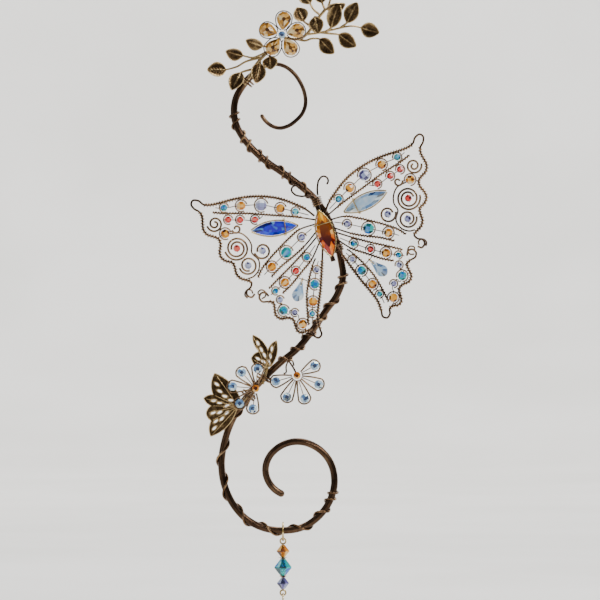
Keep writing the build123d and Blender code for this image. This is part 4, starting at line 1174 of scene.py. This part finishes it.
@dataclass
class BodyBindings(Piece):
    """Turns of wire that bind the butterfly's spine tightly to the scroll, at head and tail.

    Attributes:
        stem_px: Route of the scroll's thick rod.
        places: How far down the spine from the butterfly's middle each binding sits, and its turns.
        rod_mm: Thickness of the rod.
        spine_mm: Thickness of the spine.
        wire_mm: Thickness of the wire.
        pitch_mm: Distance between turns.
        room_mm: Room between the wire and what it binds.
        arc_steps: Points in each half of the way round the rod, and in the way round the spine.
    """

    stem_px: Route
    places: tuple[tuple[float, int], ...] = ((-14.0, 4), (7.4, 3))
    rod_mm: float = 3.0
    spine_mm: float = 2.0
    wire_mm: float = 0.8
    pitch_mm: float = 0.95
    room_mm: float = 0.04
    arc_steps: int = 10
    slot: ClassVar[Slot] = Slot.WRAP_WIRE

    def binding(self, spine: Vector, rod: Vector, down: Vector, turns: int) -> list[Vector]:
        """Runs one binding, which starts and ends at the rod's back.

        Args:
            spine: Its place on the spine.
            rod: The rod's nearest point.
            down: The spine's way down.
            turns: Its turns.

        Returns:
            The points of its line.
        """
        gap = spine - rod
        gap -= down * gap.dot(down)
        outward = gap.normalized()
        across = down.cross(outward)
        rod_radius, spine_radius = self.rod_mm * MM / 2, self.spine_mm * MM / 2
        wire = self.wire_mm * MM / 2
        tangent = math.acos((rod_radius - spine_radius) / gap.length)
        shares = [step / self.arc_steps for step in range(self.arc_steps + 1)]
        base = spine - gap
        loop = [(base, rod_radius, math.pi + (math.pi - tangent) * share) for share in shares]
        loop += [(spine, spine_radius, -tangent + 2 * tangent * share) for share in shares]
        loop += [(base, rod_radius, tangent + (math.pi - tangent) * share) for share in shares[:-1]]
        line = []
        for turn in range(turns):
            for step, (centre, radius, angle) in enumerate(loop):
                reach = radius + wire + self.room_mm * MM
                fall = self.pitch_mm * MM * (turn + step / len(loop) - turns / 2)
                aside = outward * math.cos(angle) + across * math.sin(angle)
                line.append(centre + aside * reach + down * fall)
        return line

    def shape(self, mesh: bmesh.types.BMesh) -> None:
        """Adds the bindings.

        Args:
            mesh: The mesh to add to.
        """
        lean = math.radians(STANCE.lean_deg)
        down = Vector((math.sin(lean), 0.0, -math.cos(lean)))
        rod_line = smooth_line([at(px) for px in self.stem_px], ROD_STEPS)
        for place_mm, turns in self.places:
            spine = at(STANCE.middle_px, STANCE.depth_mm) + down * (place_mm * MM)
            rod = min(rod_line, key=lambda point: (point - Vector((spine.x, 0.0, spine.z))).length)
            add_wire(mesh, self.binding(spine, rod, down, turns), self.wire_mm, sides=10, rub=0.5)


def around(middle: Px, reach_px: float, angle: float) -> Px:
    """Gives the place at a reach and an angle from a middle, turned from outwards to downwards."""
    return (middle[0] + reach_px * math.cos(angle), middle[1] + reach_px * math.sin(angle))


@dataclass
class BeadCradles(Piece):
    """Fine wire that comes off the veins and goes most of the way round each bead of a pair of wings.

    Attributes:
        side: The side of the butterfly.
        beads_px: The beads' middles along the butterfly's own axes, by the beads' width in millimetres.
        wire_mm: Thickness of the wire.
        room_mm: Room between a bead and its wire.
        step_mm: How far the wire stands in front of the thread through the beads.
        open_deg: How much of the way round is left open.
        open_way_deg: Where it is open, turned from outwards to downwards.
        steps: Points of each wire.
    """

    side: Side
    beads_px: dict[float, Route]
    wire_mm: float = 0.62
    room_mm: float = 0.1
    step_mm: float = 0.45
    open_deg: float = 75.0
    open_way_deg: float = 140.0
    steps: int = 28

    def shape(self, mesh: bmesh.types.BMesh) -> None:
        """Adds the wires.

        Args:
            mesh: The mesh to add to.
        """
        px_per_mm = STANCE.reach_px / STANCE.reach_mm
        for width_mm, middles in self.beads_px.items():
            reach_px = (width_mm / 2 + self.room_mm + self.wire_mm / 2) * px_per_mm
            for middle in middles:
                line = []
                for step in range(self.steps + 1):
                    turn = self.open_way_deg + self.open_deg / 2 + (360 - self.open_deg) * step / self.steps
                    px = around(middle, reach_px, math.radians(turn))
                    line.append(STANCE.place(px, self.side, self.step_mm))
                add_wire(mesh, line, self.wire_mm, sides=8, rub=0.7)


@dataclass
class BlossomWires(Piece):
    """The wires of a bead blossom: a loop round each petal, the pin in it, and the stalk.

    Attributes:
        hub_px: The blossom's middle.
        petals_px: The middle of each petal.
        stalk_px: Where the stalk runs behind the blossom.
        stalk_depth_mm: How far that run stands in front of the scroll's plane.
        depth_mm: How far the blossom stands in front of it.
        petal_mm: Width of a petal bead.
        petal_rise_mm: Half the length of a petal bead along its pin.
        gap_mm: Room between a bead and its loop.
        near_mm: Distance of a loop's start from the blossom's middle.
        mouth_mm: Half the room between a loop's two ends.
        waist: Half a loop's width on the way, as a share of its mouth and its crown together.
        crown_steps: Steps of a loop's way round the bead.
        loop_wire_mm: Thickness of the loops.
        pin_wire_mm: Thickness of the pins.
        stalk_wire_mm: Thickness of the stalk.
        stalk_start_mm: How far behind the blossom's middle the stalk leaves the centre bead.
    """

    hub_px: Px
    petals_px: Route
    stalk_px: Route
    stalk_depth_mm: float
    depth_mm: float = 6.7
    petal_mm: float = 4.0
    petal_rise_mm: float = 1.72
    gap_mm: float = 0.2
    near_mm: float = 2.0
    mouth_mm: float = 0.55
    waist: float = 0.56
    crown_steps: int = 8
    loop_wire_mm: float = 0.7
    pin_wire_mm: float = 0.4
    stalk_wire_mm: float = 0.8
    stalk_start_mm: float = 3.4

    def loop(self, hub: Vector, ray: Vector, distance: float) -> list[Vector]:
        """Runs a loop out round one petal and back.

        Args:
            hub: The blossom's middle.
            ray: The petal's way outwards.
            distance: Distance of the petal's middle in metres.

        Returns:
            The points of the loop.
        """
        across = ray.cross(FRONT)
        half = self.petal_mm / 2 + self.gap_mm + self.loop_wire_mm / 2
        rise = self.petal_rise_mm + self.gap_mm + self.loop_wire_mm / 2
        middle = distance / MM
        out = [
            (self.near_mm, self.mouth_mm),
            ((self.near_mm + middle) / 2, (self.mouth_mm + half) * self.waist),
        ]
        turns = [math.pi * step / self.crown_steps for step in range(self.crown_steps + 1)]
        crown = [(middle + rise * math.sin(turn), half * math.cos(turn)) for turn in turns]
        back = [(along, -aside) for along, aside in reversed(out)]
        places = [*out, *crown, *back]
        return smooth_line([hub + (ray * along + across * aside) * MM for along, aside in places], steps=5)

    def shape(self, mesh: bmesh.types.BMesh) -> None:
        """Adds the loops, the pins and the stalk.

        Args:
            mesh: The mesh to add to.
        """
        hub = at(self.hub_px, self.depth_mm)
        for px in self.petals_px:
            ray = (at(px, self.depth_mm) - hub).normalized()
            distance = (at(px, self.depth_mm) - hub).length
            add_wire(mesh, self.loop(hub, ray, distance), self.loop_wire_mm, sides=10, rub=0.8)
            pin = [hub + ray * (self.near_mm * MM), hub + ray * (distance + self.petal_rise_mm * MM)]
            add_wire(mesh, pin, self.pin_wire_mm, sides=8, rub=0.5)
        stalk = [hub, hub - FRONT * (self.stalk_start_mm * MM)]
        stalk += [at(px, self.stalk_depth_mm) for px in self.stalk_px]
        add_wire(mesh, smooth_line(stalk, steps=8), self.stalk_wire_mm, sides=10, rub=0.3)


@dataclass
class LooseWires(Piece):
    """Short bent wires that end in curls: on a wing, or in front of the scroll where no side is given.

    Attributes:
        routes: Points of each wire.
        depth_mm: How far the wires stand in front of the wing, or of the scroll's plane.
        side: The side of the butterfly, or none.
        wire_mm: Thickness of the wire.
    """

    routes: tuple[Route, ...]
    depth_mm: float
    side: Side | None = None
    wire_mm: float = 0.7

    def shape(self, mesh: bmesh.types.BMesh) -> None:
        """Adds the wires.

        Args:
            mesh: The mesh to add to.
        """
        for route in self.routes:
            if self.side:
                points = [STANCE.place(px, self.side, self.depth_mm) for px in route]
            else:
                points = [at(px, self.depth_mm) for px in route]
            add_wire(mesh, smooth_line(points, steps=10), self.wire_mm, sides=10, rub=0.3)


@dataclass(frozen=True)
class Curl:
    """One flat wire spiral of a wing.

    Attributes:
        middle_px: Its middle along the butterfly's own axes.
        outer_px: Its reach where it starts.
        inner_px: Its reach where it ends.
        turns: Its turns.
        step_mm: How far it stands in front of the wing.
    """

    middle_px: Px
    outer_px: float
    inner_px: float
    turns: float
    step_mm: float


@dataclass
class WingSpirals(Piece):
    """The flat wire spirals of a pair of wings, of the stout wire that the photograph shows.

    Attributes:
        side: The side of the butterfly.
        curls: The spirals.
        wire_mm: Thickness of the wire.
        turn_steps: Points in a turn.
    """

    side: Side
    curls: tuple[Curl, ...]
    wire_mm: float = 0.9
    turn_steps: int = 32

    def shape(self, mesh: bmesh.types.BMesh) -> None:
        """Adds the spirals.

        Args:
            mesh: The mesh to add to.
        """
        for curl in self.curls:
            steps = round(self.turn_steps * curl.turns)
            line = []
            for step in range(steps + 1):
                angle = 2 * math.pi * curl.turns * step / steps
                reach_px = curl.outer_px + (curl.inner_px - curl.outer_px) * step / steps
                line.append(STANCE.place(around(curl.middle_px, reach_px, angle), self.side, curl.step_mm))
            add_wire(mesh, line, self.wire_mm, sides=10, rub=0.5)


@dataclass
class CrystalPetals(Piece):
    """The flower's petals: flat drops of cut glass, each with its point to the middle.

    Attributes:
        hub_px: The flower's middle.
        petals_px: The middle of each petal's loop.
        depth_mm: How far the flower stands in front of the scroll's plane.
        inner_mm: Distance of a petal's point from the flower's middle.
        length_mm: Length of a petal.
        half_mm: Half its width.
        outline: Share of the length and of the half width, from the point to the round end.
        rings: Height in millimetres and share of the outline of each ring of corners, back to front.
        heart: Share of the length where the facets draw in to.
    """

    hub_px: Px
    petals_px: Route
    depth_mm: float = 6.4
    inner_mm: float = 2.2
    length_mm: float = 7.5
    half_mm: float = 3.1
    outline: tuple[tuple[float, float], ...] = (
        (0.0, 0.14), (0.2, 0.52), (0.42, 0.86), (0.64, 1.0), (0.84, 0.8), (1.0, 0.32),
    )
    rings: tuple[tuple[float, float], ...] = (
        (-1.9, 0.2), (-1.2, 0.62), (-0.25, 1.0), (0.25, 1.0), (1.2, 0.66), (1.9, 0.26),
    )
    heart: float = 0.58
    slot: ClassVar[Slot] = Slot.CHAMPAGNE
    faceted: ClassVar[bool] = True

    def add_petal(self, mesh: bmesh.types.BMesh, hub: Vector, ray: Vector) -> None:
        """Adds one faceted petal.

        Args:
            mesh: The mesh to add to.
            hub: The flower's middle.
            ray: The petal's way outwards.
        """
        across = ray.cross(FRONT)
        corners = [*self.outline, *((share, -aside) for share, aside in reversed(self.outline))]
        rings = []
        for height, draw in self.rings:
            ring = []
            for share, aside in corners:
                along = self.inner_mm + self.length_mm * (self.heart + (share - self.heart) * draw)
                point = hub + (ray * along + across * (self.half_mm * aside * draw) + FRONT * height) * MM
                ring.append(mesh.verts.new(point))
            rings.append(ring)
        for number, (low, high) in enumerate(zip(rings, rings[1:])):
            for corner in range(len(corners)):
                following = (corner + 1) % len(corners)
                a, b, c, d = low[corner], low[following], high[following], high[corner]
                halves = ((a, b, c), (a, c, d)) if (corner + number) % 2 else ((a, b, d), (b, c, d))
                for half in halves:
                    mesh.faces.new(half)
        mesh.faces.new(list(reversed(rings[0])))
        mesh.faces.new(rings[-1])

    def shape(self, mesh: bmesh.types.BMesh) -> None:
        """Adds the petals.

        Args:
            mesh: The mesh to add to.
        """
        hub = at(self.hub_px, self.depth_mm)
        for px in self.petals_px:
            self.add_petal(mesh, hub, (at(px, self.depth_mm) - hub).normalized())


@dataclass(frozen=True)
class Lamp:
    """A softbox of the studio.

    Attributes:
        name: What it is.
        place_m: Where it hangs.
        size_m: Width and height of its front.
        power_w: Its power.
        aim_m: The point that it faces, or none for the ornament.
    """

    name: str
    place_m: tuple[float, float, float]
    size_m: tuple[float, float]
    power_w: float
    aim_m: tuple[float, float, float] | None = None

    def build(self, target: Vector) -> None:
        """Hangs the lamp.

        Args:
            target: The ornament's middle.
        """
        light = bpy.data.lights.new(self.name, "AREA")
        light.shape = "RECTANGLE"
        light.size, light.size_y = self.size_m
        light.energy = self.power_w
        lamp = bpy.data.objects.new(self.name.replace(" ", "_"), light)
        lamp.location = self.place_m
        aim = Vector(self.aim_m) if self.aim_m else target
        lamp.rotation_euler = (aim - Vector(self.place_m)).to_track_quat("-Z", "Y").to_euler()
        bpy.context.scene.collection.objects.link(lamp)


@dataclass
class Studio:
    """A pale paper sweep and soft lamps round the hanging ornament, the strongest from the upper right.

    Attributes:
        floor_m: Height of the paper under the ornament.
        width_m: Width of the paper.
        front_m: How far the paper runs to the front.
        back_m: Where it starts to rise behind the ornament.
        bend_m: Radius of its rise.
        bend_steps: Steps of that rise.
        top_m: Height that it is hung from.
        lamps: The softboxes.
        world: Colour of the room's own light.
        world_strength: Its strength.
    """

    floor_m: float = -0.262
    width_m: float = 8.0
    front_m: float = 3.0
    back_m: float = 1.9
    bend_m: float = 0.8
    bend_steps: int = 16
    top_m: float = 2.6
    lamps: tuple[Lamp, ...] = (
        Lamp("key softbox", (0.62, -0.60, 0.55), (0.3, 0.3), 4.6),
        Lamp("fill softbox", (-0.85, -0.75, 0.05), (0.4, 0.9), 1.3),
        Lamp("top strip", (0.15, 0.05, 0.75), (0.8, 0.15), 4.0),
        Lamp("rim strip left", (-0.60, 0.45, 0.05), (0.12, 0.8), 1.6),
        Lamp("rim strip right", (0.60, 0.40, 0.10), (0.12, 0.8), 3.6),
        Lamp("glint lamp", (0.22, -1.15, 0.30), (0.05, 0.05), 1.0),
        Lamp("backdrop softbox", (0.0, 1.0, 1.9), (2.4, 0.5), 100.0, (0.0, 2.7, 0.1)),
    )
    world: str = "#c9ccd0"
    world_strength: float = 0.55

    def add_paper(self) -> None:
        """Lays the paper sweep."""
        mesh = bmesh.new()
        profile = [(-self.front_m, self.floor_m)]
        for step in range(self.bend_steps + 1):
            angle = math.pi / 2 * step / self.bend_steps
            profile.append((self.back_m + self.bend_m * math.sin(angle),
                            self.floor_m + self.bend_m * (1 - math.cos(angle))))
        profile.append((self.back_m + self.bend_m, self.top_m))
        sides = [
            [mesh.verts.new((side * self.width_m / 2, y, z)) for y, z in profile] for side in (-1, 1)
        ]
        for place in range(len(profile) - 1):
            mesh.faces.new((sides[0][place], sides[1][place], sides[1][place + 1], sides[0][place + 1]))
        bmesh.ops.recalc_face_normals(mesh, faces=mesh.faces)
        data = bpy.data.meshes.new("paper_sweep")
        mesh.to_mesh(data)
        mesh.free()
        data.shade_smooth()
        data.materials.append(StudioPaper().material())
        paper = bpy.data.objects.new("paper_sweep", data)
        bpy.context.scene.collection.objects.link(paper)

    def build(self, target: Vector) -> None:
        """Sets up paper, lamps and the pale room.

        Args:
            target: The ornament's middle.
        """
        self.add_paper()
        for lamp in self.lamps:
            lamp.build(target)
        world = bpy.data.worlds.new("pale room")
        world.use_nodes = True
        sky = world.node_tree.nodes["Background"]
        sky.inputs["Color"].default_value = linear(self.world)
        sky.inputs["Strength"].default_value = self.world_strength
        bpy.context.scene.world = world
        LOG.info("studio: %d lamps", len(self.lamps))


@dataclass
class Viewpoint:
    """The photograph's camera: level, straight on and far away.

    Attributes:
        middle_px: The photograph's middle pixel.
        side_px: The photograph's side.
        distance_m: Distance from the scroll's plane.
        sensor_mm: Width of the sensor.
    """

    middle_px: Px = (300.0, 300.0)
    side_px: float = 600.0
    distance_m: float = 1.5
    sensor_mm: float = 36.0

    def build(self) -> None:
        """Adds the camera and makes it the scene's own."""
        lens = bpy.data.cameras.new("photo camera")
        lens.sensor_width = self.sensor_mm
        lens.lens = self.sensor_mm * self.distance_m / (self.side_px * MM_PER_PX * MM)
        camera = bpy.data.objects.new("photo_camera", lens)
        camera.location = at(self.middle_px) + FRONT * self.distance_m
        camera.rotation_euler = (math.pi / 2, 0.0, 0.0)
        bpy.context.scene.collection.objects.link(camera)
        bpy.context.scene.camera = camera


LEFT_SPRIG = LeafSprig(
    "left_leaves", "left_leaf_sprig",
    ((280.2, 38.4), (266, 54), (256, 65), (250, 76.6), (244.4, 84.8)),
    (
        (((263, 57.5), (247, 61.5), (237, 67), (226, 70), (207.5, 70.5)), 3.6, 12),
        (((269, 51), (259, 56), (252, 58), (243, 56), (226, 51.5)), 1.2, -40),
        (((273, 47), (263, 46.5), (246, 40.5)), -1.2, -45),
        (((252, 69.5), (241, 73), (232, 91)), 8.6, 20),
        (((260, 60.5), (260, 63.5), (256, 84)), 7.6, -15),
        (((270.8, 48.6), (270, 57), (271, 70)), 2.9, 10),
    ),
)

RIGHT_SPRIG = LeafSprig(
    "right_leaves", "right_leaf_sprig",
    ((284, 38), (297, 39.5), (305, 36), (313, 26.5), (319, 17.5), (326, 9)),
    (
        (((306, 35), (320, 33), (333, 30), (350, 26.5), (361, 28), (379, 33.5)), 3.6, 10),
        (((321, 32.9), (330, 34), (339, 35), (356, 47)), 3.6, 20),
        (((297, 39.5), (305, 41), (312, 39), (320, 39.5), (334, 54)), 4.8, 25),
        (((340, 28.3), (347, 23), (357, 3)), 1.2, -15),
        (((326, 31.7), (331, 28), (339, 4)), 4.8, -15),
        (((321, 15), (326.5, 9.5), (345, 4.5)), 5.2, 55),
        (((318.5, 18.3), (314.5, 17.5), (318.5, 34)), 2.4, 10),
        (((312, 27.7), (303.5, 21.5), (297, 8)), -1.4, 10),
        (((320.5, 15.6), (314, 10.5), (310, 4), (302, -11)), -1.2, -20),
        (((325, 10.2), (322, 3), (318, -12)), 1.9, 20),
        (((327.3, 10.4), (331, -2), (338, -16.9)), 0, 15),
    ),
)

LOWER_LEAF = FiligreeLeaf(
    "lower_pierced_leaf", "lower_filigree_leaf",
    ((241, 400.5), (215, 373), (213.5, 394.5), (204, 398), (211.5, 405.5), (206.5, 413), (211.5, 420.5),
     (211, 436), (236, 411.5)),
    ((236, 408), (252.5, 391)),
    ((217, 384), (220, 391), (225, 396), (231, 400), (214, 400.5), (220, 402.5), (227, 405.5),
     (213.5, 412.5), (220, 412), (227, 412.5), (216, 421), (222, 418.5), (214.5, 428)),
)

UPPER_LEAF = FiligreeLeaf(
    "upper_pierced_leaf", "upper_filigree_leaf",
    ((271, 366), (276.5, 340.5), (268, 350.5), (253, 335), (259.5, 351.5), (251.5, 358), (260.5, 369)),
    ((268.5, 362), (262.5, 384)),
    ((258, 343), (261.5, 349.5), (264.5, 355), (258, 358.5), (263.5, 361.5), (272, 349), (270.5, 356),
     (269, 362)),
)


FOREWING_EDGE_PX: Route = (
    (5.5, -20), (12.5, -29), (22, -37), (33, -44.8), (44, -50.2), (55, -53.8), (66, -56.2), (78, -57.5),
    (90, -57.8), (101, -58.2), (109, -60.5), (113, -65.5), (118.3, -67.5), (121.2, -64), (119.4, -59),
    (115.5, -55), (114.2, -49.5), (115.6, -43), (116.6, -36.7), (114.1, -31), (109, -27.8), (104.5, -24),
    (104.3, -18), (106.8, -12.5), (107.5, -6.5), (104, -1.5), (98, 2), (97, 7.5), (97.2, 14), (94, 19.5),
    (88.5, 22.8), (85.2, 26), (87.5, 30.2), (91.8, 32.3), (92.8, 36.8), (89, 39.8), (85.3, 37.5),
)
HINDWING_EDGE_PX: Route = (
    (72.5, 43.5), (74.5, 39.5), (79, 38.7), (82, 42.5), (80, 47), (74.5, 48.5), (69.8, 51), (70.2, 57),
    (71, 63.4), (67, 68.3), (60, 69.3), (55.4, 72.5), (55, 78.5), (54.3, 84.5), (50, 87.5), (44.5, 86.6),
    (40.8, 89), (39.8, 93.5), (36, 96.6), (32, 94), (32.2, 88.5), (31.5, 78), (27, 66), (21, 52.6),
    (15.5, 38), (10.5, 24), (5.5, 9),
)
FOREWING_VEINS_PX: tuple[Route, ...] = (
    ((5.5, -16), (19, -22), (28.5, -25.8), (44.5, -31.5), (57, -36), (68, -40), (80, -43.5), (92, -46.8),
     (103, -50.8)),
    ((5.5, -12), (23.3, -11.3), (35.5, -6.1), (47.8, 0.5), (60.7, 8.3), (71, 15.6), (77.5, 23)),
)
HINDWING_VEINS_PX: tuple[Route, ...] = (
    ((5.5, -6.5), (24, 6), (38, 13), (52, 18.8), (64.5, 26)),
    ((5.5, -2), (24, 10.2), (42, 21), (56, 28.5), (70, 36.5)),
    ((5.5, 3.2), (20, 20), (32, 28.5), (47.5, 39), (58.5, 44.6)),
    ((16.5, 20.5), (21, 26), (30, 41), (36, 55), (39.6, 69.5), (42, 82)),
)
# Node, routes, wound stretches, and the thickness of the stouter and of the finer wire
WING_WIRES: tuple[tuple[str, tuple[Route, ...], Wound, float, float], ...] = (
    ("forewing_frame", (FOREWING_EDGE_PX,), (((1, 10), (15, 31)),), 0.9, 0.5),
    ("hindwing_frame", (HINDWING_EDGE_PX,), (((5, 16), (20, 25)),), 0.9, 0.5),
    ("forewing_veins", FOREWING_VEINS_PX, (((1, 8),), ((1, 6),)), 0.7, 0.42),
    ("hindwing_veins", HINDWING_VEINS_PX, (((1, 4),), ((1, 4),), ((1, 4),), ((1, 5),)), 0.7, 0.42),
)
BOUND_WIRES = tuple(
    BoundWires(f"{side.word}_bound_{node}", f"{side.word}_{node}", side, *sizes)
    for side in Side
    for node, *sizes in WING_WIRES
)
# The wire that runs round the cells of the wing spirals, and the curls where the two wings meet
CELL_WIRES_PX: tuple[Route, ...] = (
    ((99, -28.5), (91, -26.2), (82, -24.2), (76.2, -17.5), (74.2, -9.5), (76, -2), (71.5, 6.8), (74, 15.5),
     (80.5, 20.5), (87, 21.2)),
    ((79.5, 44), (75.3, 42.6), (74.2, 38.4), (77.4, 35.4), (81.2, 37), (81, 40.4)),
    ((93, 39.6), (94.6, 35.6), (91.6, 31.8), (87.2, 33), (86.6, 36.6)),
)
CELL_WIRES = tuple(LooseWires(f"{side.word}_cell_wires", None, CELL_WIRES_PX, -0.9, side) for side in Side)
TENDRIL = LooseWires(
    "spray_tendril", None,
    (((283.5, 373.5), (286.2, 372), (286.2, 366), (288.6, 361), (292.4, 360.8), (294, 365.6)),), 3.6,
)
FLOWER = CrystalPetals(
    "champagne_petals", "flower_petals", (282, 36),
    ((284, 19.5), (267, 31), (298, 31.5), (272, 50), (291.5, 50.5)),
)
LEFT_BLOSSOM = BlossomWires(
    "left_blossom_loops", "left_blossom_wires", (256, 388),
    ((242, 372), (258, 368.5), (233, 386), (240, 403), (253, 408)), ((256, 388),), 1.65,
)
RIGHT_BLOSSOM = BlossomWires(
    "right_blossom_loops", "right_blossom_wires", (297, 375),
    ((314.5, 365.5), (318.5, 384), (304.5, 398), (287, 396.5), (276, 381)), ((293, 367), (287, 358.5)), 3.3,
)
STEM_PX: Route = (
    (251.5, 76), (242, 87), (236, 98), (234, 110), (236, 124), (243, 137.5), (253, 149.5), (267, 162),
    (283, 173), (300, 185.5), (314, 198), (326, 215), (335, 237), (341, 260), (343, 277), (337.5, 294),
    (325, 312), (312, 331), (298, 348), (280, 363), (262, 380), (246, 398), (233, 418.5), (224.5, 442),
    (221.5, 464), (224.5, 485), (233, 504), (247, 519.5), (264, 528), (283, 530.5), (303, 527), (320, 515),
    (331, 498), (334.5, 480), (329, 460), (315, 446.5), (297, 441.5), (279, 447), (268, 459), (265.5, 471),
    (270, 484), (281, 493.5),
)
STEM_CROSSINGS_PX: dict[str, Route] = {
    "upper": (
        (234.5, 114.5), (236.5, 121.5), (243.5, 138), (248, 144.5), (261, 156.5), (265.5, 161), (284, 173.5),
        (288.5, 177), (305.5, 189.5),
    ),
    "middle": ((342.5, 276), (341, 283), (331, 303), (320, 320), (308, 335.5), (297, 349), (285, 358.5)),
    "lower": (
        (233, 418.5), (222.5, 452), (225, 487), (243, 516), (269, 529.5), (301, 527.5), (323.5, 511.5),
        (331, 499), (332.5, 493),
    ),
}
STEM_WRAPS = tuple(
    StemWrap(f"{run}_rod_winding", f"{run}_stem_wrap", crossings_px, STEM_PX)
    for run, crossings_px in STEM_CROSSINGS_PX.items()
)
CURLS = (
    Curl((90, -10.4), 12.0, 5.3, 2.0, 0.5),
    Curl((65.7, -1.2), 8.2, 5.0, 1.0, 0.0),
    Curl((83.4, 8.8), 9.0, 5.3, 1.25, -0.5),
    Curl((104, -39.5), 8.0, 1.6, 1.75, 0.0),
    Curl((84.6, -29), 4.7, 1.6, 1.0, 0.0),
)
SPIRALS = tuple(
    WingSpirals(f"{side.word}_stout_spirals", f"{side.word}_wing_spirals", side, CURLS)
    for side in Side
)
BINDINGS = BodyBindings("body_bindings", "butterfly_bindings", STEM_PX)
WING_BEADS_PX: dict[float, Route] = {
    2.6: ((64.5, 40.4), (18.8, 31.5), (35.4, 72.1), (62.5, 49.9), (52, 66.1)),
    3.1: (
        (22.8, -29.2), (90.8, -52.2), (64.3, -32.6), (78.8, -36.4), (90.2, -39.8), (23.9, -3.2), (24.8, 17.1),
        (39.2, 27),
    ),
    4.1: (
        (36.5, -36.4), (73.8, -49.5), (96.9, -27.4), (61.2, 16.6), (53.1, 34.9), (24.8, 44.8), (31.4, 60.9),
        (62.4, 61), (47.7, 79.2),
    ),
    5.0: ((54.3, -44.5), (43.2, 7)),
}
CRADLES = tuple(BeadCradles(f"{side.word}_bead_cradles", None, side, WING_BEADS_PX) for side in Side)


def dress_nodes(materials: dict[Slot, bpy.types.Material]) -> None:
    """Gives every node of the frame the finish of its slot.

    Args:
        materials: The finished materials.
    """
    for subpart in frame["record"]["subparts"]:
        node = frame["nodes"][subpart["node"]]
        node.data.materials.clear()
        node.data.materials.append(materials[Slot(subpart["material_slot"])])
        LOG.info("%s dressed", node.name)


def main() -> None:
    """Builds and dresses every sub-assembly in order."""
    logging.basicConfig(level=logging.INFO, format="%(message)s")
    Viewpoint().build()
    low, high = CAD_BOX
    Studio().build((low + high) / 2)
    materials = {slot: finish.material() for slot, finish in FINISHES.items()}
    dress_nodes(materials)
    top_spray = (LEFT_SPRIG, RIGHT_SPRIG, FLOWER)
    lower_spray = (LOWER_LEAF, UPPER_LEAF, LEFT_BLOSSOM, RIGHT_BLOSSOM, TENDRIL)
    butterfly = (BINDINGS, *BOUND_WIRES, *SPIRALS, *CELL_WIRES, *CRADLES)
    for assembly in (*STEM_WRAPS, *top_spray, *butterfly, *lower_spray):
        assembly.build(materials)


if __name__ == "__main__":
    main()
